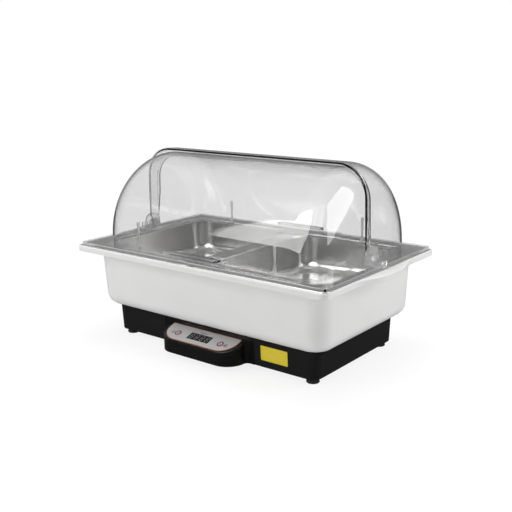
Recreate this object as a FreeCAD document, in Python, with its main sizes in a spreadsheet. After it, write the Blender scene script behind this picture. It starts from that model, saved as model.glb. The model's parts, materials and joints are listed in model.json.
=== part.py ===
import FreeCAD, Part
import math
import os
import Sketcher

# Electric chafing dish with a clear roll-top cover, in millimetres.
# +X runs along the long side, -Y is the side with the control box, +Z is up.
# The origin is the middle of the footprint, on the surface that the feet stand on.

V = FreeCAD.Vector
doc = FreeCAD.newDocument("ChafingDish")
sheet = doc.addObject("Spreadsheet::Sheet", "Sizes")

# Driving dimensions: each line becomes one row of the sheet, and the name is its alias.
DIMENSIONS = {
    # gaps between pieces
    "seat_gap": 0.3,
    "slip_gap": 0.4,
    "pin_play": 0.05,
    # feet and base housing
    "foot_height": 10.0,
    "foot_radius": 11.0,
    "foot_top_radius": 9.5,
    "foot_inset": 17.0,
    "foot_screw_radius": 2.0,
    "base_inset_ends": 24.0,
    "base_inset_sides": 21.0,
    "base_height": 47.0,
    "base_flare": 2.4,
    "base_corner": 16.0,
    "base_wall": 3.0,
    "cover_thickness": 1.5,
    "vent_length": 44.0,
    "vent_width": 4.0,
    "vent_pitch": 12.0,
    "vent_count": 6,
    "cover_screw_radius": 1.6,
    "boss_radius": 4.0,
    "boss_margin": 9.5,
    "boss_pilot": 0.1,
    "pilot_depth": 14.0,
    "cover_screw_length": 12.0,
    # heater stack under the tub
    "plate_inset": 18.5,
    "plate_thickness": 6.0,
    "plate_corner": 14.0,
    "plate_proud": 0.6,
    "plate_ledge": 5.0,
    "ledge_thickness": 2.5,
    "element_radius": 3.3,
    "element_margin": 50.0,
    "reflector_inset_ends": 17.0,
    "reflector_inset_sides": 8.0,
    "reflector_wall": 0.8,
    "pad_thickness": 8.0,
    "sensor_radius": 6.0,
    "sensor_height": 5.0,
    "cutout_radius": 8.0,
    "cutout_height": 9.0,
    "sensor_offset": 45.0,
    # rear power inlet
    "inlet_width": 27.0,
    "inlet_height": 19.0,
    "inlet_depth": 18.0,
    "inlet_flange": 4.0,
    "inlet_from_end": 68.5,
    # control box
    "box_length": 166.0,
    "box_reach": 40.0,
    "box_corner": 32.0,
    "box_front_height": 24.0,
    "box_back_height": 37.0,
    "box_wall": 2.5,
    "box_flare": 7.5,
    "cable_length": 40.0,
    "cable_height": 10.0,
    "backplate_length": 198.0,
    "panel_length": 150.0,
    "panel_depth": 38.0,
    "panel_margin": 1.6,
    "panel_corner": 29.0,
    "panel_thickness": 1.0,
    "trim_width": 1.0,
    "display_length": 47.0,
    "display_width": 17.0,
    "display_from_back": 21.5,
    "display_depth": 6.5,
    "display_count": 4,
    "button_radius": 6.2,
    "button_flange": 0.9,
    "button_spacing": 94.0,
    "button_from_back": 23.5,
    "button_travel": 0.5,
    "button_skirt": 1.8,
    "switch_size": 6.0,
    "switch_height": 3.4,
    "board_length": 128.0,
    "board_width": 22.0,
    "board_thickness": 1.6,
    "board_post_radius": 2.5,
    # power board
    "power_board_length": 120.0,
    "power_board_width": 44.0,
    "power_board_height": 6.0,
    "relay_length": 20.0,
    "relay_width": 16.0,
    "relay_height": 9.0,
    "transformer_length": 32.0,
    "transformer_width": 27.0,
    "transformer_step": 4.0,
    "transformer_lip": 1.5,
    # water tray
    "pan_clearance": 0.6,
    "tub_corner": 33.0,
    "tub_flare": 4.6,
    "tub_depth": 105.0,
    "tub_wall": 2.5,
    "tub_edge": 22.0,
    "flange_edge": 1.8,
    "land_ends": 2.0,
    "land_sides": 4.5,
    "flange_corner": 12.0,
    "flange_height": 10.0,
    "flange_rise": 6.5,
    "flange_wall": 2.5,
    "rebate_depth": 4.0,
    "rebate_margin": 1.0,
    "rebate_corner": 4.0,
    "grip_bulge": 17.0,
    "grip_length": 150.0,
    "grip_flat": 62.0,
    "grip_blend": 48.0,
    # food pans
    "pans_length": 530.0,
    "pans_width": 325.0,
    "pan_gap": 1.0,
    "pan_wall": 1.0,
    "pan_depth": 65.0,
    "pan_rim_outer": 21.0,
    "pan_rim_middle": 13.0,
    "pan_rim_side": 21.5,
    "pan_rim_drop": 3.6,
    "pan_rim_round": 1.2,
    "pan_corner": 12.0,
    "well_corner": 40.0,
    "well_draft": 6.0,
    "well_edge": 18.0,
    "well_lip": 4.0,
    # lid frame
    "frame_inset_ends": 0.5,
    "frame_inset_sides": 0.5,
    "frame_corner": 12.0,
    "frame_band_ends": 39.5,
    "frame_band_sides": 39.5,
    "frame_thickness": 2.8,
    "frame_bead": 2.0,
    "frame_bead_height": 1.6,
    "hinge_rise": 10.9,
    "post_height": 44.0,
    "post_foot_radius": 3.4,
    "post_waist_radius": 1.5,
    "post_top_radius": 2.8,
    "post_waist_height": 13.0,
    "post_spacing": 296.0,
    "post_inset": 36.0,
    "stud_radius": 3.0,
    "stud_height": 3.0,
    "stud_spacing": 348.0,
    "stud_inset": 31.0,
    # hinge brackets and pins
    "bracket_width": 42.0,
    "bracket_height": 30.0,
    "bracket_thickness": 3.0,
    "bracket_corner": 14.0,
    "bracket_foot_width": 30.0,
    "gusset_share": 0.3,
    "clip_width": 12.0,
    "clip_thickness": 2.6,
    "clip_rise": 8.0,
    "pin_radius": 4.0,
    "pin_head_radius": 7.0,
    "pin_head_thickness": 3.0,
    "washer_thickness": 2.0,
    # roll-top covers
    "cover_inset_ends": 25.5,
    "cover_inset_sides": 14.5,
    "nest_ends": 4.5,
    "nest_radius": 7.0,
    "cover_draft": 3.0,
    "cover_round": 52.0,
    "cover_wall": 2.5,
    "seam_half": 9.0,
    "seam_rib": 2.5,
    "seam_lip_in": 5.0,
    "seam_lip_out": 2.0,
    "seam_drop": 0.6,
    "hub_radius": 9.8,
    "hub_thickness": 1.6,
    "tab_length": 100.0,
    "tab_reach": 15.0,
    "tab_thickness": 2.6,
    "tab_curl": 5.0,
    "tab_corner": 9.0,
}


class Size:
    """A length that carries its number beside the sheet formula it comes from."""

    def __init__(self, value, formula):
        self.value = value
        self.formula = formula

    def __add__(self, other):
        other = size(other)
        return Size(self.value + other.value, f"({self.formula} + {other.formula})")

    def __sub__(self, other):
        other = size(other)
        return Size(self.value - other.value, f"({self.formula} - {other.formula})")

    def __mul__(self, factor):
        factor = size(factor)
        return Size(self.value * factor.value, f"({self.formula} * {factor.formula})")

    def __truediv__(self, divisor):
        divisor = size(divisor)
        return Size(self.value / divisor.value, f"({self.formula} / {divisor.formula})")

    def __neg__(self):
        return Size(-self.value, f"(-1 * {self.formula})")

    __radd__ = __add__
    __rmul__ = __mul__

    def __rsub__(self, other):
        return size(other) - self


def size(value):
    """A plain number becomes a Size whose formula is that number."""
    if isinstance(value, Size):
        return value
    return Size(float(value), f"{float(value):g}")


def fill_sheet():
    """Writes the driving dimensions into the sheet and gives each cell its alias."""
    for row, (name, value) in enumerate(DIMENSIONS.items(), start=1):
        sheet.set(f"A{row}", name.replace("_", " "))
        sheet.set(f"B{row}", str(value))
        sheet.setAlias(f"B{row}", name)
    doc.recompute()


def cell(name):
    return Size(float(DIMENSIONS[name]), f"Sizes.{name}")


fill_sheet()


class Cells:
    """Reads a driving dimension by its alias: base_length."""

    def __getattr__(self, name):
        return cell(name)


C = Cells()


# Sizes that follow from the two food pans side by side

tub_spread = (C.pan_clearance + C.tub_wall - C.tub_flare) * 2
tub_length = C.pans_length - C.pan_rim_outer * 2 + tub_spread
tub_width = C.pans_width - C.pan_rim_side * 2 + tub_spread
flange_length = C.pans_length + (C.rebate_margin + C.land_ends) * 2
flange_width = C.pans_width + (C.rebate_margin + C.land_sides) * 2
frame_length = C.pans_length - C.frame_inset_ends * 2
frame_width = C.pans_width - C.frame_inset_sides * 2
base_length = tub_length - C.base_inset_ends * 2
base_width = tub_width - C.base_inset_sides * 2
plate_length = base_length - C.plate_inset * 2
plate_width = base_width - C.plate_inset * 2
reflector_length = plate_length - C.reflector_inset_ends * 2
reflector_width = plate_width - C.reflector_inset_sides * 2
element_reach = plate_length / 2 - C.element_margin
element_pitch = plate_width / 4
inlet_offset = base_length / 2 - C.inlet_from_end
back_length = frame_length - C.cover_inset_ends * 2
front_length = back_length - C.nest_ends * 2
back_radius = frame_width / 2 - C.cover_inset_sides
front_radius = back_radius - C.nest_radius
post_offset = frame_width / 2 - C.post_inset
stud_offset = frame_width / 2 - C.stud_inset


# Sketch helpers


def bind(sketch, kind, *where):
    """Adds one dimension and ties it to its formula."""
    *places, length = where
    number = sketch.addConstraint(Sketcher.Constraint(kind, *places, length.value))
    sketch.setExpression(f"Constraints[{number}]", length.formula)


def pin(sketch, item, end, x, y):
    """Fixes one point of a sketch item at x, y from the sketch origin."""
    bind(sketch, "DistanceX", -1, 1, item, end, size(x))
    bind(sketch, "DistanceY", -1, 1, item, end, size(y))


def new_body(label):
    body = doc.addObject("PartDesign::Body", label)
    body.Label = label
    return body


def new_sketch(body, plane, name, offset=None):
    """A sketch on one of the body's own origin planes, moved along its normal."""
    sketch = body.newObject("Sketcher::SketchObject", name)
    support = next(f for f in body.Origin.OriginFeatures if f.Role == plane)
    sketch.AttachmentSupport = [(support, "")]
    sketch.MapMode = "FlatFace"
    if offset is not None:
        sketch.setExpression("AttachmentOffset.Base.z", size(offset).formula)
    return sketch


def new_slope_sketch(body, name, lift):
    """A sketch on the control box's slope, raised by lift: its x is the panel's width and
    its -y runs down the slope from the back edge."""
    sketch = new_sketch(body, "XY_Plane", name)
    sketch.AttachmentOffset = FreeCAD.Placement(V(0, 0, 0), FreeCAD.Rotation(V(1, 0, 0), 1.0))
    lift = size(lift)
    up = C.box_reach / slope_length
    back = panel_rise / slope_length
    sketch.setExpression("AttachmentOffset.Rotation.Angle", panel_angle.formula)
    sketch.setExpression("AttachmentOffset.Base.y", (-panel_back - lift * back).formula)
    height = base_bottom + C.box_back_height + lift * up
    sketch.setExpression("AttachmentOffset.Base.z", height.formula)
    return sketch


def circle(sketch, x, y, radius):
    x, y, radius = size(x), size(y), size(radius)
    item = sketch.addGeometry(Part.Circle(V(x.value, y.value, 0), V(0, 0, 1), radius.value))
    pin(sketch, item, 3, x, y)
    bind(sketch, "Radius", item, radius)


def arc_between(centre, start, end):
    """The anticlockwise arc about centre from start to end."""
    first, last = (math.atan2(p.y - centre.y, p.x - centre.x) for p in (start, end))
    if last <= first:
        last += 2 * math.pi
    circle_of_arc = Part.Circle(centre, V(0, 0, 1), (start - centre).Length)
    return Part.ArcOfCircle(circle_of_arc, first, last)


def outline(sketch, corners):
    """A closed outline through corners (x, y) or (x, y, radius), rounded where a radius is given."""
    places = [(size(c[0]), size(c[1]), size(c[2]) if len(c) > 2 else None) for c in corners]
    points = [V(x.value, y.value, 0) for x, y, radius in places]
    count = len(points)
    entries, leaves, arcs = [], [], []
    for i, (x, y, radius) in enumerate(places):
        here = points[i]
        back = (points[i - 1] - here).normalize()
        ahead = (points[(i + 1) % count] - here).normalize()
        if radius is None:
            entries.append(here)
            leaves.append(here)
            arcs.append(None)
            continue
        half = math.acos(max(-1.0, min(1.0, back.dot(ahead)))) / 2
        reach = radius.value / math.tan(half)
        entry, leave = here + back * reach, here + ahead * reach
        centre = here + (back + ahead).normalize() * (radius.value / math.sin(half))
        turns_left = back.cross(ahead).z < 0
        entries.append(entry)
        leaves.append(leave)
        arcs.append(arc_between(centre, entry, leave) if turns_left else arc_between(centre, leave, entry))
    lines = [
        sketch.addGeometry(Part.LineSegment(leaves[i], entries[(i + 1) % count]))
        for i in range(count)
    ]
    for i, (x, y, radius) in enumerate(places):
        before, after = lines[i - 1], lines[i]
        if radius is None:
            sketch.addConstraint(Sketcher.Constraint("Coincident", before, 2, after, 1))
            pin(sketch, after, 1, x, y)
            continue
        arc = sketch.addGeometry(arcs[i])
        corner = sketch.addGeometry(Part.Point(points[i]), True)
        start_is_entry = (sketch.Geometry[arc].StartPoint - entries[i]).Length < 1e-6
        first, last = (1, 2) if start_is_entry else (2, 1)
        pin(sketch, corner, 1, x, y)
        sketch.addConstraint(Sketcher.Constraint("PointOnObject", corner, 1, before))
        sketch.addConstraint(Sketcher.Constraint("PointOnObject", corner, 1, after))
        sketch.addConstraint(Sketcher.Constraint("Tangent", before, 2, arc, first))
        sketch.addConstraint(Sketcher.Constraint("Tangent", arc, last, after, 1))
        bind(sketch, "Radius", arc, radius)


def box_outline(sketch, length, width, radius=None, x=0.0, y=0.0):
    """A rectangle centred on x, y, with rounded corners where a radius is given."""
    half_length, half_width = size(length) / 2, size(width) / 2
    x, y = size(x), size(y)
    ends = [(-1, -1), (1, -1), (1, 1), (-1, 1)]
    corners = [(x + half_length * sx, y + half_width * sy) for sx, sy in ends]
    outline(sketch, corners if radius is None else [(cx, cy, radius) for cx, cy in corners])


# Feature helpers


def finish(body, feature):
    """Makes the feature the body's latest one and works it out."""
    body.Tip = feature
    doc.recompute()
    if feature.Shape.isNull() or not feature.Shape.Solids:
        raise RuntimeError(f"{body.Label}: {feature.Name} makes no solid: {feature.State}")
    return feature


def slant(run, rise):
    """The angle off upright, in degrees, of a wall that leans out by run over rise."""
    run, rise = size(run), size(rise)
    degrees = math.degrees(math.atan(run.value / rise.value))
    return Size(degrees, f"atan({run.formula} / {rise.formula})")


def extrude(body, kind, sketch, name, length=None, both_ways=False, reverse=False, taper=None):
    """A Pad or Pocket, widening by taper degrees; with no length it goes through everything."""
    feature = body.newObject(f"PartDesign::{kind}", name)
    feature.Profile = sketch
    if length is None:
        feature.Type = "ThroughAll"
    else:
        feature.setExpression("Length", size(length).formula)
    if both_ways:
        feature.SideType = "Symmetric"
    feature.Reversed = reverse
    if taper is not None:
        feature.setExpression("TaperAngle", taper.formula)
    return finish(body, feature)


def pad(body, sketch, name, length, **options):
    return extrude(body, "Pad", sketch, name, length, **options)


def pocket(body, sketch, name, length=None, **options):
    """Cuts the sketch out of the body, and stops if it removes nothing."""
    before = body.Tip.Shape.Volume
    feature = extrude(body, "Pocket", sketch, name, length, **options)
    if feature.Shape.Volume > before - 1e-3:
        raise RuntimeError(f"{body.Label}: {name} removes nothing")
    return feature


def revolve(body, sketch, name, axis, kind="Revolution"):
    """A full turn of the sketch about one of its own axes."""
    feature = body.newObject(f"PartDesign::{kind}", name)
    feature.Profile = sketch
    feature.ReferenceAxis = (sketch, [axis])
    feature.Angle = 360.0
    return finish(body, feature)


def edges_where(shape, test):
    return [f"Edge{n}" for n, edge in enumerate(shape.Edges, start=1) if test(edge)]


def soften(body, name, radius, test, kind="Fillet"):
    """Rounds or chamfers the edges that pass the test."""
    doc.recompute()
    base = body.Tip
    names = edges_where(base.Shape, test)
    if not names:
        raise RuntimeError(f"{body.Label}: {name} finds no edge")
    feature = body.newObject(f"PartDesign::{kind}", name)
    feature.Base = (base, names)
    feature.setExpression("Radius" if kind == "Fillet" else "Size", size(radius).formula)
    return finish(body, feature)


def at_height(z):
    """A test for edges that lie in the horizontal plane at z."""
    level = size(z).value
    return lambda edge: (
        abs(edge.BoundBox.ZMin - level) < 1e-4 and abs(edge.BoundBox.ZMax - level) < 1e-4
    )


def place(body, x=0.0, y=0.0, z=0.0, axis=None, angle=None):
    """Puts a body where its formulas say, turned about axis by angle in degrees."""
    for letter, value in (("x", x), ("y", y), ("z", z)):
        body.setExpression(f"Placement.Base.{letter}", size(value).formula)
    if axis is not None:
        body.Placement = FreeCAD.Placement(body.Placement.Base, FreeCAD.Rotation(axis, 1.0))
        body.setExpression("Placement.Rotation.Angle", angle.formula)
    doc.recompute()
    return body


def union(label, pieces):
    """One node of several separate, identical solids."""
    group = doc.addObject("Part::Compound", label)
    group.Label = label
    group.Links = pieces
    doc.recompute()
    return group


# Levels that several pieces share

base_bottom = C.foot_height
base_top = base_bottom + C.base_height
plate_top = base_top + C.plate_proud
plate_bottom = plate_top - C.plate_thickness
tub_bottom = plate_top + C.seat_gap
tub_top = tub_bottom + C.tub_depth
flange_top = tub_top + C.flange_rise
rebate_floor = flange_top - C.rebate_depth
pan_rim_bottom = rebate_floor + C.seat_gap
pan_rim_top = pan_rim_bottom + C.pan_rim_drop + C.pan_wall
frame_bottom = pan_rim_top + C.seat_gap
frame_top = frame_bottom + C.frame_thickness
hinge_height = frame_top + C.hinge_rise


# Base housing and what it stands on


def corner_places(inset):
    """The four places that lie inset from the base's bottom corners."""
    x, y = base_length / 2 - inset, base_width / 2 - inset
    return [(x * sx, y * sy) for sx in (-1, 1) for sy in (-1, 1)]


def make_base_housing():
    """Open-bottomed moulded box whose deck has a rebated window for the hot plate."""
    body = new_body("base_housing")
    lean = slant(C.base_flare, C.base_height)
    foot = new_sketch(body, "XY_Plane", "housing_foot", base_bottom)
    box_outline(foot, base_length, base_width, C.base_corner)
    pad(body, foot, "housing_block", C.base_height, taper=lean)
    soften(body, "deck_edge", 1.5, at_height(base_top))
    cavity = new_sketch(body, "XY_Plane", "cavity_foot", base_bottom)
    box_outline(
        cavity,
        base_length - C.base_wall * 2,
        base_width - C.base_wall * 2,
        C.base_corner - C.base_wall,
    )
    pocket(body, cavity, "cavity_cut", C.base_height - C.base_wall, reverse=True, taper=lean)
    ledge = new_sketch(body, "XY_Plane", "plate_ledge", plate_bottom - C.ledge_thickness)
    surround = (C.slip_gap + C.base_wall) * 2
    box_outline(
        ledge,
        plate_length + surround,
        plate_width + surround,
        C.plate_corner + C.slip_gap + C.base_wall,
    )
    box_outline(
        ledge,
        plate_length - C.plate_ledge * 2,
        plate_width - C.plate_ledge * 2,
        C.plate_corner - C.plate_ledge,
    )
    ledge_depth = base_top - C.base_wall / 2 - plate_bottom + C.ledge_thickness
    pad(body, ledge, "plate_ledge_ring", ledge_depth)
    window = new_sketch(body, "XY_Plane", "plate_rebate", plate_bottom)
    box_outline(
        window,
        plate_length + C.slip_gap * 2,
        plate_width + C.slip_gap * 2,
        C.plate_corner + C.slip_gap,
    )
    pocket(body, window, "plate_rebate_cut", C.plate_thickness, reverse=True)
    notch = new_sketch(body, "XZ_Plane", "control_notch")
    outline(notch, backplate_corners(C.slip_gap / 2))
    front_half = base_width / 2 + C.base_flare * 2
    pocket(body, notch, "control_notch_cut", front_half, reverse=True)
    rear = new_sketch(body, "XZ_Plane", "inlet_land", -(base_width / 2 - C.base_wall / 2))
    box_outline(
        rear,
        C.inlet_width + C.inlet_flange * 2 + 3,
        C.inlet_height + C.inlet_flange * 1.5 + 3,
        3.0,
        inlet_offset,
        inlet_middle(),
    )
    land = C.base_flare + C.base_wall / 2
    pad(body, rear, "inlet_land_pad", land, reverse=True)
    bosses = new_sketch(body, "XY_Plane", "cover_bosses", base_bottom + C.cover_thickness + 0.1)
    for x, y in cover_screw_places():
        circle(bosses, x, y, C.boss_radius)
    pad(body, bosses, "cover_boss_pads", C.base_height - C.cover_thickness - C.base_wall)
    pilots = new_sketch(body, "XY_Plane", "boss_pilots", base_bottom)
    for x, y in cover_screw_places():
        circle(pilots, x, y, C.cover_screw_radius + C.boss_pilot)
    pocket(body, pilots, "boss_pilots_cut", C.pilot_depth, reverse=True)
    socket = new_sketch(body, "XZ_Plane", "inlet_window")
    box_outline(
        socket,
        C.inlet_width + C.slip_gap,
        C.inlet_height + C.slip_gap,
        None,
        inlet_offset,
        inlet_middle(),
    )
    pocket(body, socket, "inlet_window_cut", front_half)
    return body


def cover_screw_places():
    """Eight screws round the floor plate, clear of the heater stack."""
    x_far = base_length / 2 - C.base_wall - C.boss_margin
    y_far = base_width / 2 - C.base_wall - C.boss_margin
    ends = [(x_far * sx, base_width / 4 * sy) for sx in (-1, 1) for sy in (-1, 1)]
    sides = [((C.backplate_length / 2 + 22) * sx, y_far * sy) for sx in (-1, 1) for sy in (-1, 1)]
    return ends + sides


def inlet_middle():
    """Height of the rear inlet's centre."""
    return base_bottom + C.base_height / 2 - 2


def backplate_corners(gap):
    """Outline of the control box's back plate in the base's front wall, grown by gap."""
    half = C.backplate_length / 2 + gap
    low = base_bottom - gap
    high = base_top - C.base_wall - 0.2 + gap
    return [(-half, low), (half, low), (half, high), (-half, high)]


def make_bottom_cover():
    """Sheet-metal floor of the base, with vent slots and four bosses for the power board."""
    body = new_body("bottom_cover")
    sheet_metal = new_sketch(body, "XY_Plane", "cover_sheet", base_bottom)
    gap = C.base_wall + C.slip_gap
    box_outline(
        sheet_metal,
        base_length - gap * 2,
        base_width - gap * 2,
        C.base_corner - gap,
    )
    pad(body, sheet_metal, "cover_plate", C.cover_thickness)
    first = (C.vent_count - 1) * C.vent_pitch / 2
    for side in (-1, 1):
        slot = new_sketch(body, "XY_Plane", "vent_left" if side < 0 else "vent_right")
        box_outline(
            slot,
            C.vent_length,
            C.vent_width,
            C.vent_width / 2 - 0.05,
            base_length / 4 * side,
            -first,
        )
        cut = pocket(body, slot, slot.Name + "_cut", reverse=True)
        pattern = body.newObject("PartDesign::LinearPattern", slot.Name + "_row")
        pattern.Originals = [cut]
        pattern.Direction = (slot, ["V_Axis"])
        pattern.setExpression("Length", (first * 2).formula)
        pattern.setExpression("Occurrences", C.vent_count.formula)
        finish(body, pattern)
    boss = new_sketch(body, "XY_Plane", "board_bosses", base_bottom + C.cover_thickness)
    for x, y in board_holes():
        circle(boss, x, y, 3.5)
    pad(body, boss, "board_bosses_pad", C.power_board_height)
    holes = new_sketch(body, "XY_Plane", "foot_holes")
    for x, y in corner_places(C.foot_inset):
        circle(holes, x, y, C.foot_screw_radius + 0.3)
    for x, y in cover_screw_places():
        circle(holes, x, y, C.cover_screw_radius + 0.4)
    pocket(body, holes, "foot_holes_cut", reverse=True)
    return body


def power_board_place():
    """Centre of the power board: behind the control box, clear of the front wall."""
    return Size(0.0, "0"), -(base_width / 2) + C.base_wall + 6 + C.power_board_width / 2


def board_holes():
    x, y = power_board_place()
    dx, dy = C.power_board_length / 2 - 6, C.power_board_width / 2 - 6
    return [(x + dx * sx, y + dy * sy) for sx in (-1, 1) for sy in (-1, 1)]


def make_feet():
    """Four turned rubber feet, each with a recess for its screw."""
    feet = []
    for number, (x, y) in enumerate(corner_places(C.foot_inset), start=1):
        body = new_body(f"foot_{number}")
        profile = new_sketch(body, "XZ_Plane", "foot_profile")
        top = C.foot_height - 0.05
        recess = C.foot_screw_radius + 2.2
        outline(
            profile,
            [
                (C.foot_screw_radius + 0.2, top),
                (C.foot_screw_radius + 0.2, 5.0),
                (recess, 5.0),
                (recess, 0.0),
                (C.foot_radius, 0.0, 1.5),
                (C.foot_top_radius, top),
            ],
        )
        revolve(body, profile, "foot_turned", "V_Axis")
        feet.append(place(body, x, y))
    return union("rubber_feet", feet)


def make_foot_screws():
    """Pan-head screws that hold the feet to the floor plate."""
    screws = []
    for number, (x, y) in enumerate(corner_places(C.foot_inset), start=1):
        body = new_body(f"foot_screw_{number}")
        profile = new_sketch(body, "XZ_Plane", "screw_profile")
        head_low = 2.6
        outline(
            profile,
            [
                (0, head_low),
                (C.foot_screw_radius + 1.8, head_low, 1.0),
                (C.foot_screw_radius + 1.8, 4.95),
                (C.foot_screw_radius, 4.95),
                (C.foot_screw_radius, base_bottom + C.cover_thickness + 4),
                (0, base_bottom + C.cover_thickness + 4),
            ],
        )
        revolve(body, profile, "screw_turned", "V_Axis")
        screws.append(place(body, x, y))
    return union("foot_screws", screws)


def make_cover_screws():
    """Pan-head screws that hold the floor plate to the housing's bosses."""
    screws = []
    for number, (x, y) in enumerate(cover_screw_places(), start=1):
        body = new_body(f"cover_screw_{number}")
        profile = new_sketch(body, "XZ_Plane", "screw_profile")
        low = base_bottom - 2.0
        face = base_bottom - 0.05
        outline(
            profile,
            [
                (0, low),
                (C.cover_screw_radius + 1.4, low, 0.8),
                (C.cover_screw_radius + 1.4, face),
                (C.cover_screw_radius, face),
                (C.cover_screw_radius, base_bottom + C.cover_screw_length),
                (0, base_bottom + C.cover_screw_length),
            ],
        )
        revolve(body, profile, "screw_turned", "V_Axis")
        screws.append(place(body, x, y))
    return union("cover_screws", screws)


# Heater stack


def make_hot_plate():
    """Cast plate that the tub stands on, stepped to hang in the deck's rebate."""
    body = new_body("hot_plate")
    face = new_sketch(body, "XY_Plane", "plate_face", plate_bottom + C.seat_gap / 6)
    box_outline(face, plate_length, plate_width, C.plate_corner)
    pad(body, face, "plate_slab", C.plate_thickness - C.seat_gap / 6)
    soften(body, "plate_edge", 1.0, at_height(plate_top))
    return body


def element_level():
    """Height of the tubular element's centreline, just under the plate."""
    return plate_bottom - C.element_radius - 0.1


def make_heating_element():
    """One tube bent into three hairpins under the plate."""
    body = new_body("heating_element")
    run = element_reach
    pitch = element_pitch
    rows = [pitch * -1.5, pitch * -0.5, pitch * 0.5, pitch * 1.5]
    path = new_sketch(body, "XY_Plane", "element_path", element_level())
    bend = pitch / 2
    straights = []
    for number, row in enumerate(rows):
        line = path.addGeometry(
            Part.LineSegment(V(-run.value, row.value, 0), V(run.value, row.value, 0))
        )
        pin(path, line, 1, -run, row)
        pin(path, line, 2, run, row)
        straights.append(line)
    for number in range(3):
        side = 1 if number % 2 == 0 else -1
        middle = (rows[number] + rows[number + 1]) / 2
        centre = V((run * side).value, middle.value, 0)
        start = -math.pi / 2 if side > 0 else math.pi / 2
        arc = path.addGeometry(
            Part.ArcOfCircle(Part.Circle(centre, V(0, 0, 1), bend.value), start, start + math.pi)
        )
        end = 2 if side > 0 else 1
        low, high = (1, 2) if side > 0 else (2, 1)
        path.addConstraint(Sketcher.Constraint("Tangent", arc, low, straights[number], end))
        path.addConstraint(Sketcher.Constraint("Coincident", arc, high, straights[number + 1], end))
    section = new_sketch(body, "YZ_Plane", "element_section", -run)
    circle(section, rows[0], element_level(), C.element_radius)
    doc.recompute()
    tube = body.newObject("PartDesign::AdditivePipe", "element_tube")
    tube.Profile = section
    tube.Spine = path
    finish(body, tube)
    return body


def reflector_top():
    return plate_bottom - 0.1


def make_reflector():
    """Folded tray that holds the insulation up against the element."""
    body = new_body("heat_reflector")
    depth = C.element_radius * 2 + C.seat_gap + C.reflector_wall
    floor = reflector_top() - depth
    outer = new_sketch(body, "XY_Plane", "reflector_outer", floor)
    box_outline(outer, reflector_length, reflector_width, 8.0)
    pad(body, outer, "reflector_block", depth)
    inner = new_sketch(body, "XY_Plane", "reflector_inner", floor + C.reflector_wall)
    box_outline(
        inner,
        reflector_length - C.reflector_wall * 2,
        reflector_width - C.reflector_wall * 2,
        8.0 - C.reflector_wall,
    )
    pocket(body, inner, "reflector_hollow", depth, reverse=True)
    holes = new_sketch(body, "XY_Plane", "sensor_holes", floor - 1)
    sensor_holes(holes)
    pocket(body, holes, "sensor_holes_cut", 3.0, reverse=True)
    return body


def sensor_holes(sketch):
    """Clearance holes for the sensor and the cutout that hang under the plate."""
    circle(sketch, -C.sensor_offset, 0, C.sensor_radius + 2)
    circle(sketch, C.sensor_offset, 0, C.cutout_radius + 2)


def make_insulation():
    """Mineral-fibre board under the reflector."""
    body = new_body("insulation_pad")
    floor = reflector_top() - C.element_radius * 2 - C.seat_gap - C.reflector_wall
    face = new_sketch(body, "XY_Plane", "pad_face", floor - C.pad_thickness - 0.1)
    box_outline(face, reflector_length - 8, reflector_width - 8, 6.0)
    sensor_holes(face)
    pad(body, face, "pad_block", C.pad_thickness)
    return body


def make_sensor(label, x, radius, height):
    """A round sensor can held against the underside of the plate, with two terminals."""
    body = new_body(label)
    can = new_sketch(body, "XY_Plane", "can_face", plate_bottom - 0.1 - height)
    circle(can, 0, 0, radius)
    pad(body, can, "can", height)
    pins = new_sketch(body, "XY_Plane", "terminals", plate_bottom - 0.1 - height - 5)
    for side in (-1, 1):
        box_outline(pins, 0.8, 3.0, None, radius * 0.5 * side)
    pad(body, pins, "terminal_pair", 5.2)
    return place(body, x)


# Rear inlet


def make_inlet():
    """Three-pole appliance inlet: flange outside, shell inside, a recess with three pins."""
    body = new_body("power_inlet")
    middle = inlet_middle()
    wall = base_width / 2 + C.base_flare
    shell = new_sketch(body, "XZ_Plane", "inlet_shell", -(wall - C.inlet_depth))
    box_outline(shell, C.inlet_width, C.inlet_height, 2.0, inlet_offset, middle)
    pad(body, shell, "inlet_shell_pad", C.inlet_depth + 0.5, reverse=True)
    flange = new_sketch(body, "XZ_Plane", "inlet_flange", -(wall + 0.1))
    box_outline(
        flange,
        C.inlet_width + C.inlet_flange * 2,
        C.inlet_height + C.inlet_flange * 1.5,
        3.0,
        inlet_offset,
        middle,
    )
    pad(body, flange, "inlet_flange_pad", 2.4, reverse=True)
    recess = new_sketch(body, "XZ_Plane", "inlet_recess", -(wall + 2.6))
    half_length, half_height = C.inlet_width / 2 - 1.5, C.inlet_height / 2 - 1.5
    outline(
        recess,
        [
            (inlet_offset - half_length, middle - half_height),
            (inlet_offset + half_length, middle - half_height),
            (inlet_offset + half_length, middle + half_height - 4),
            (inlet_offset + half_length - 4, middle + half_height),
            (inlet_offset - half_length + 4, middle + half_height),
            (inlet_offset - half_length, middle + half_height - 4),
        ],
    )
    pocket(body, recess, "inlet_recess_cut", C.inlet_depth - 2, reverse=True)
    pins = new_sketch(body, "XZ_Plane", "inlet_pins", -(wall - C.inlet_depth + 4))
    for dx, dz in ((-7, -1.5), (7, -1.5), (0, 2.5)):
        box_outline(pins, 2.0, 4.0, None, inlet_offset + dx, middle + dz)
    pad(body, pins, "inlet_pins_pad", C.inlet_depth - 5, reverse=True)
    return body


# Control box

panel_back = base_width / 2 + C.base_flare / 2
panel_rise = C.box_back_height - C.box_front_height
panel_angle = Size(
    math.degrees(math.atan(panel_rise.value / C.box_reach.value)),
    f"atan({panel_rise.formula} / {C.box_reach.formula})",
)
slope_length = Size(
    math.hypot(panel_rise.value, C.box_reach.value),
    f"sqrt({panel_rise.formula} ^ 2 + {C.box_reach.formula} ^ 2)",
)


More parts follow.
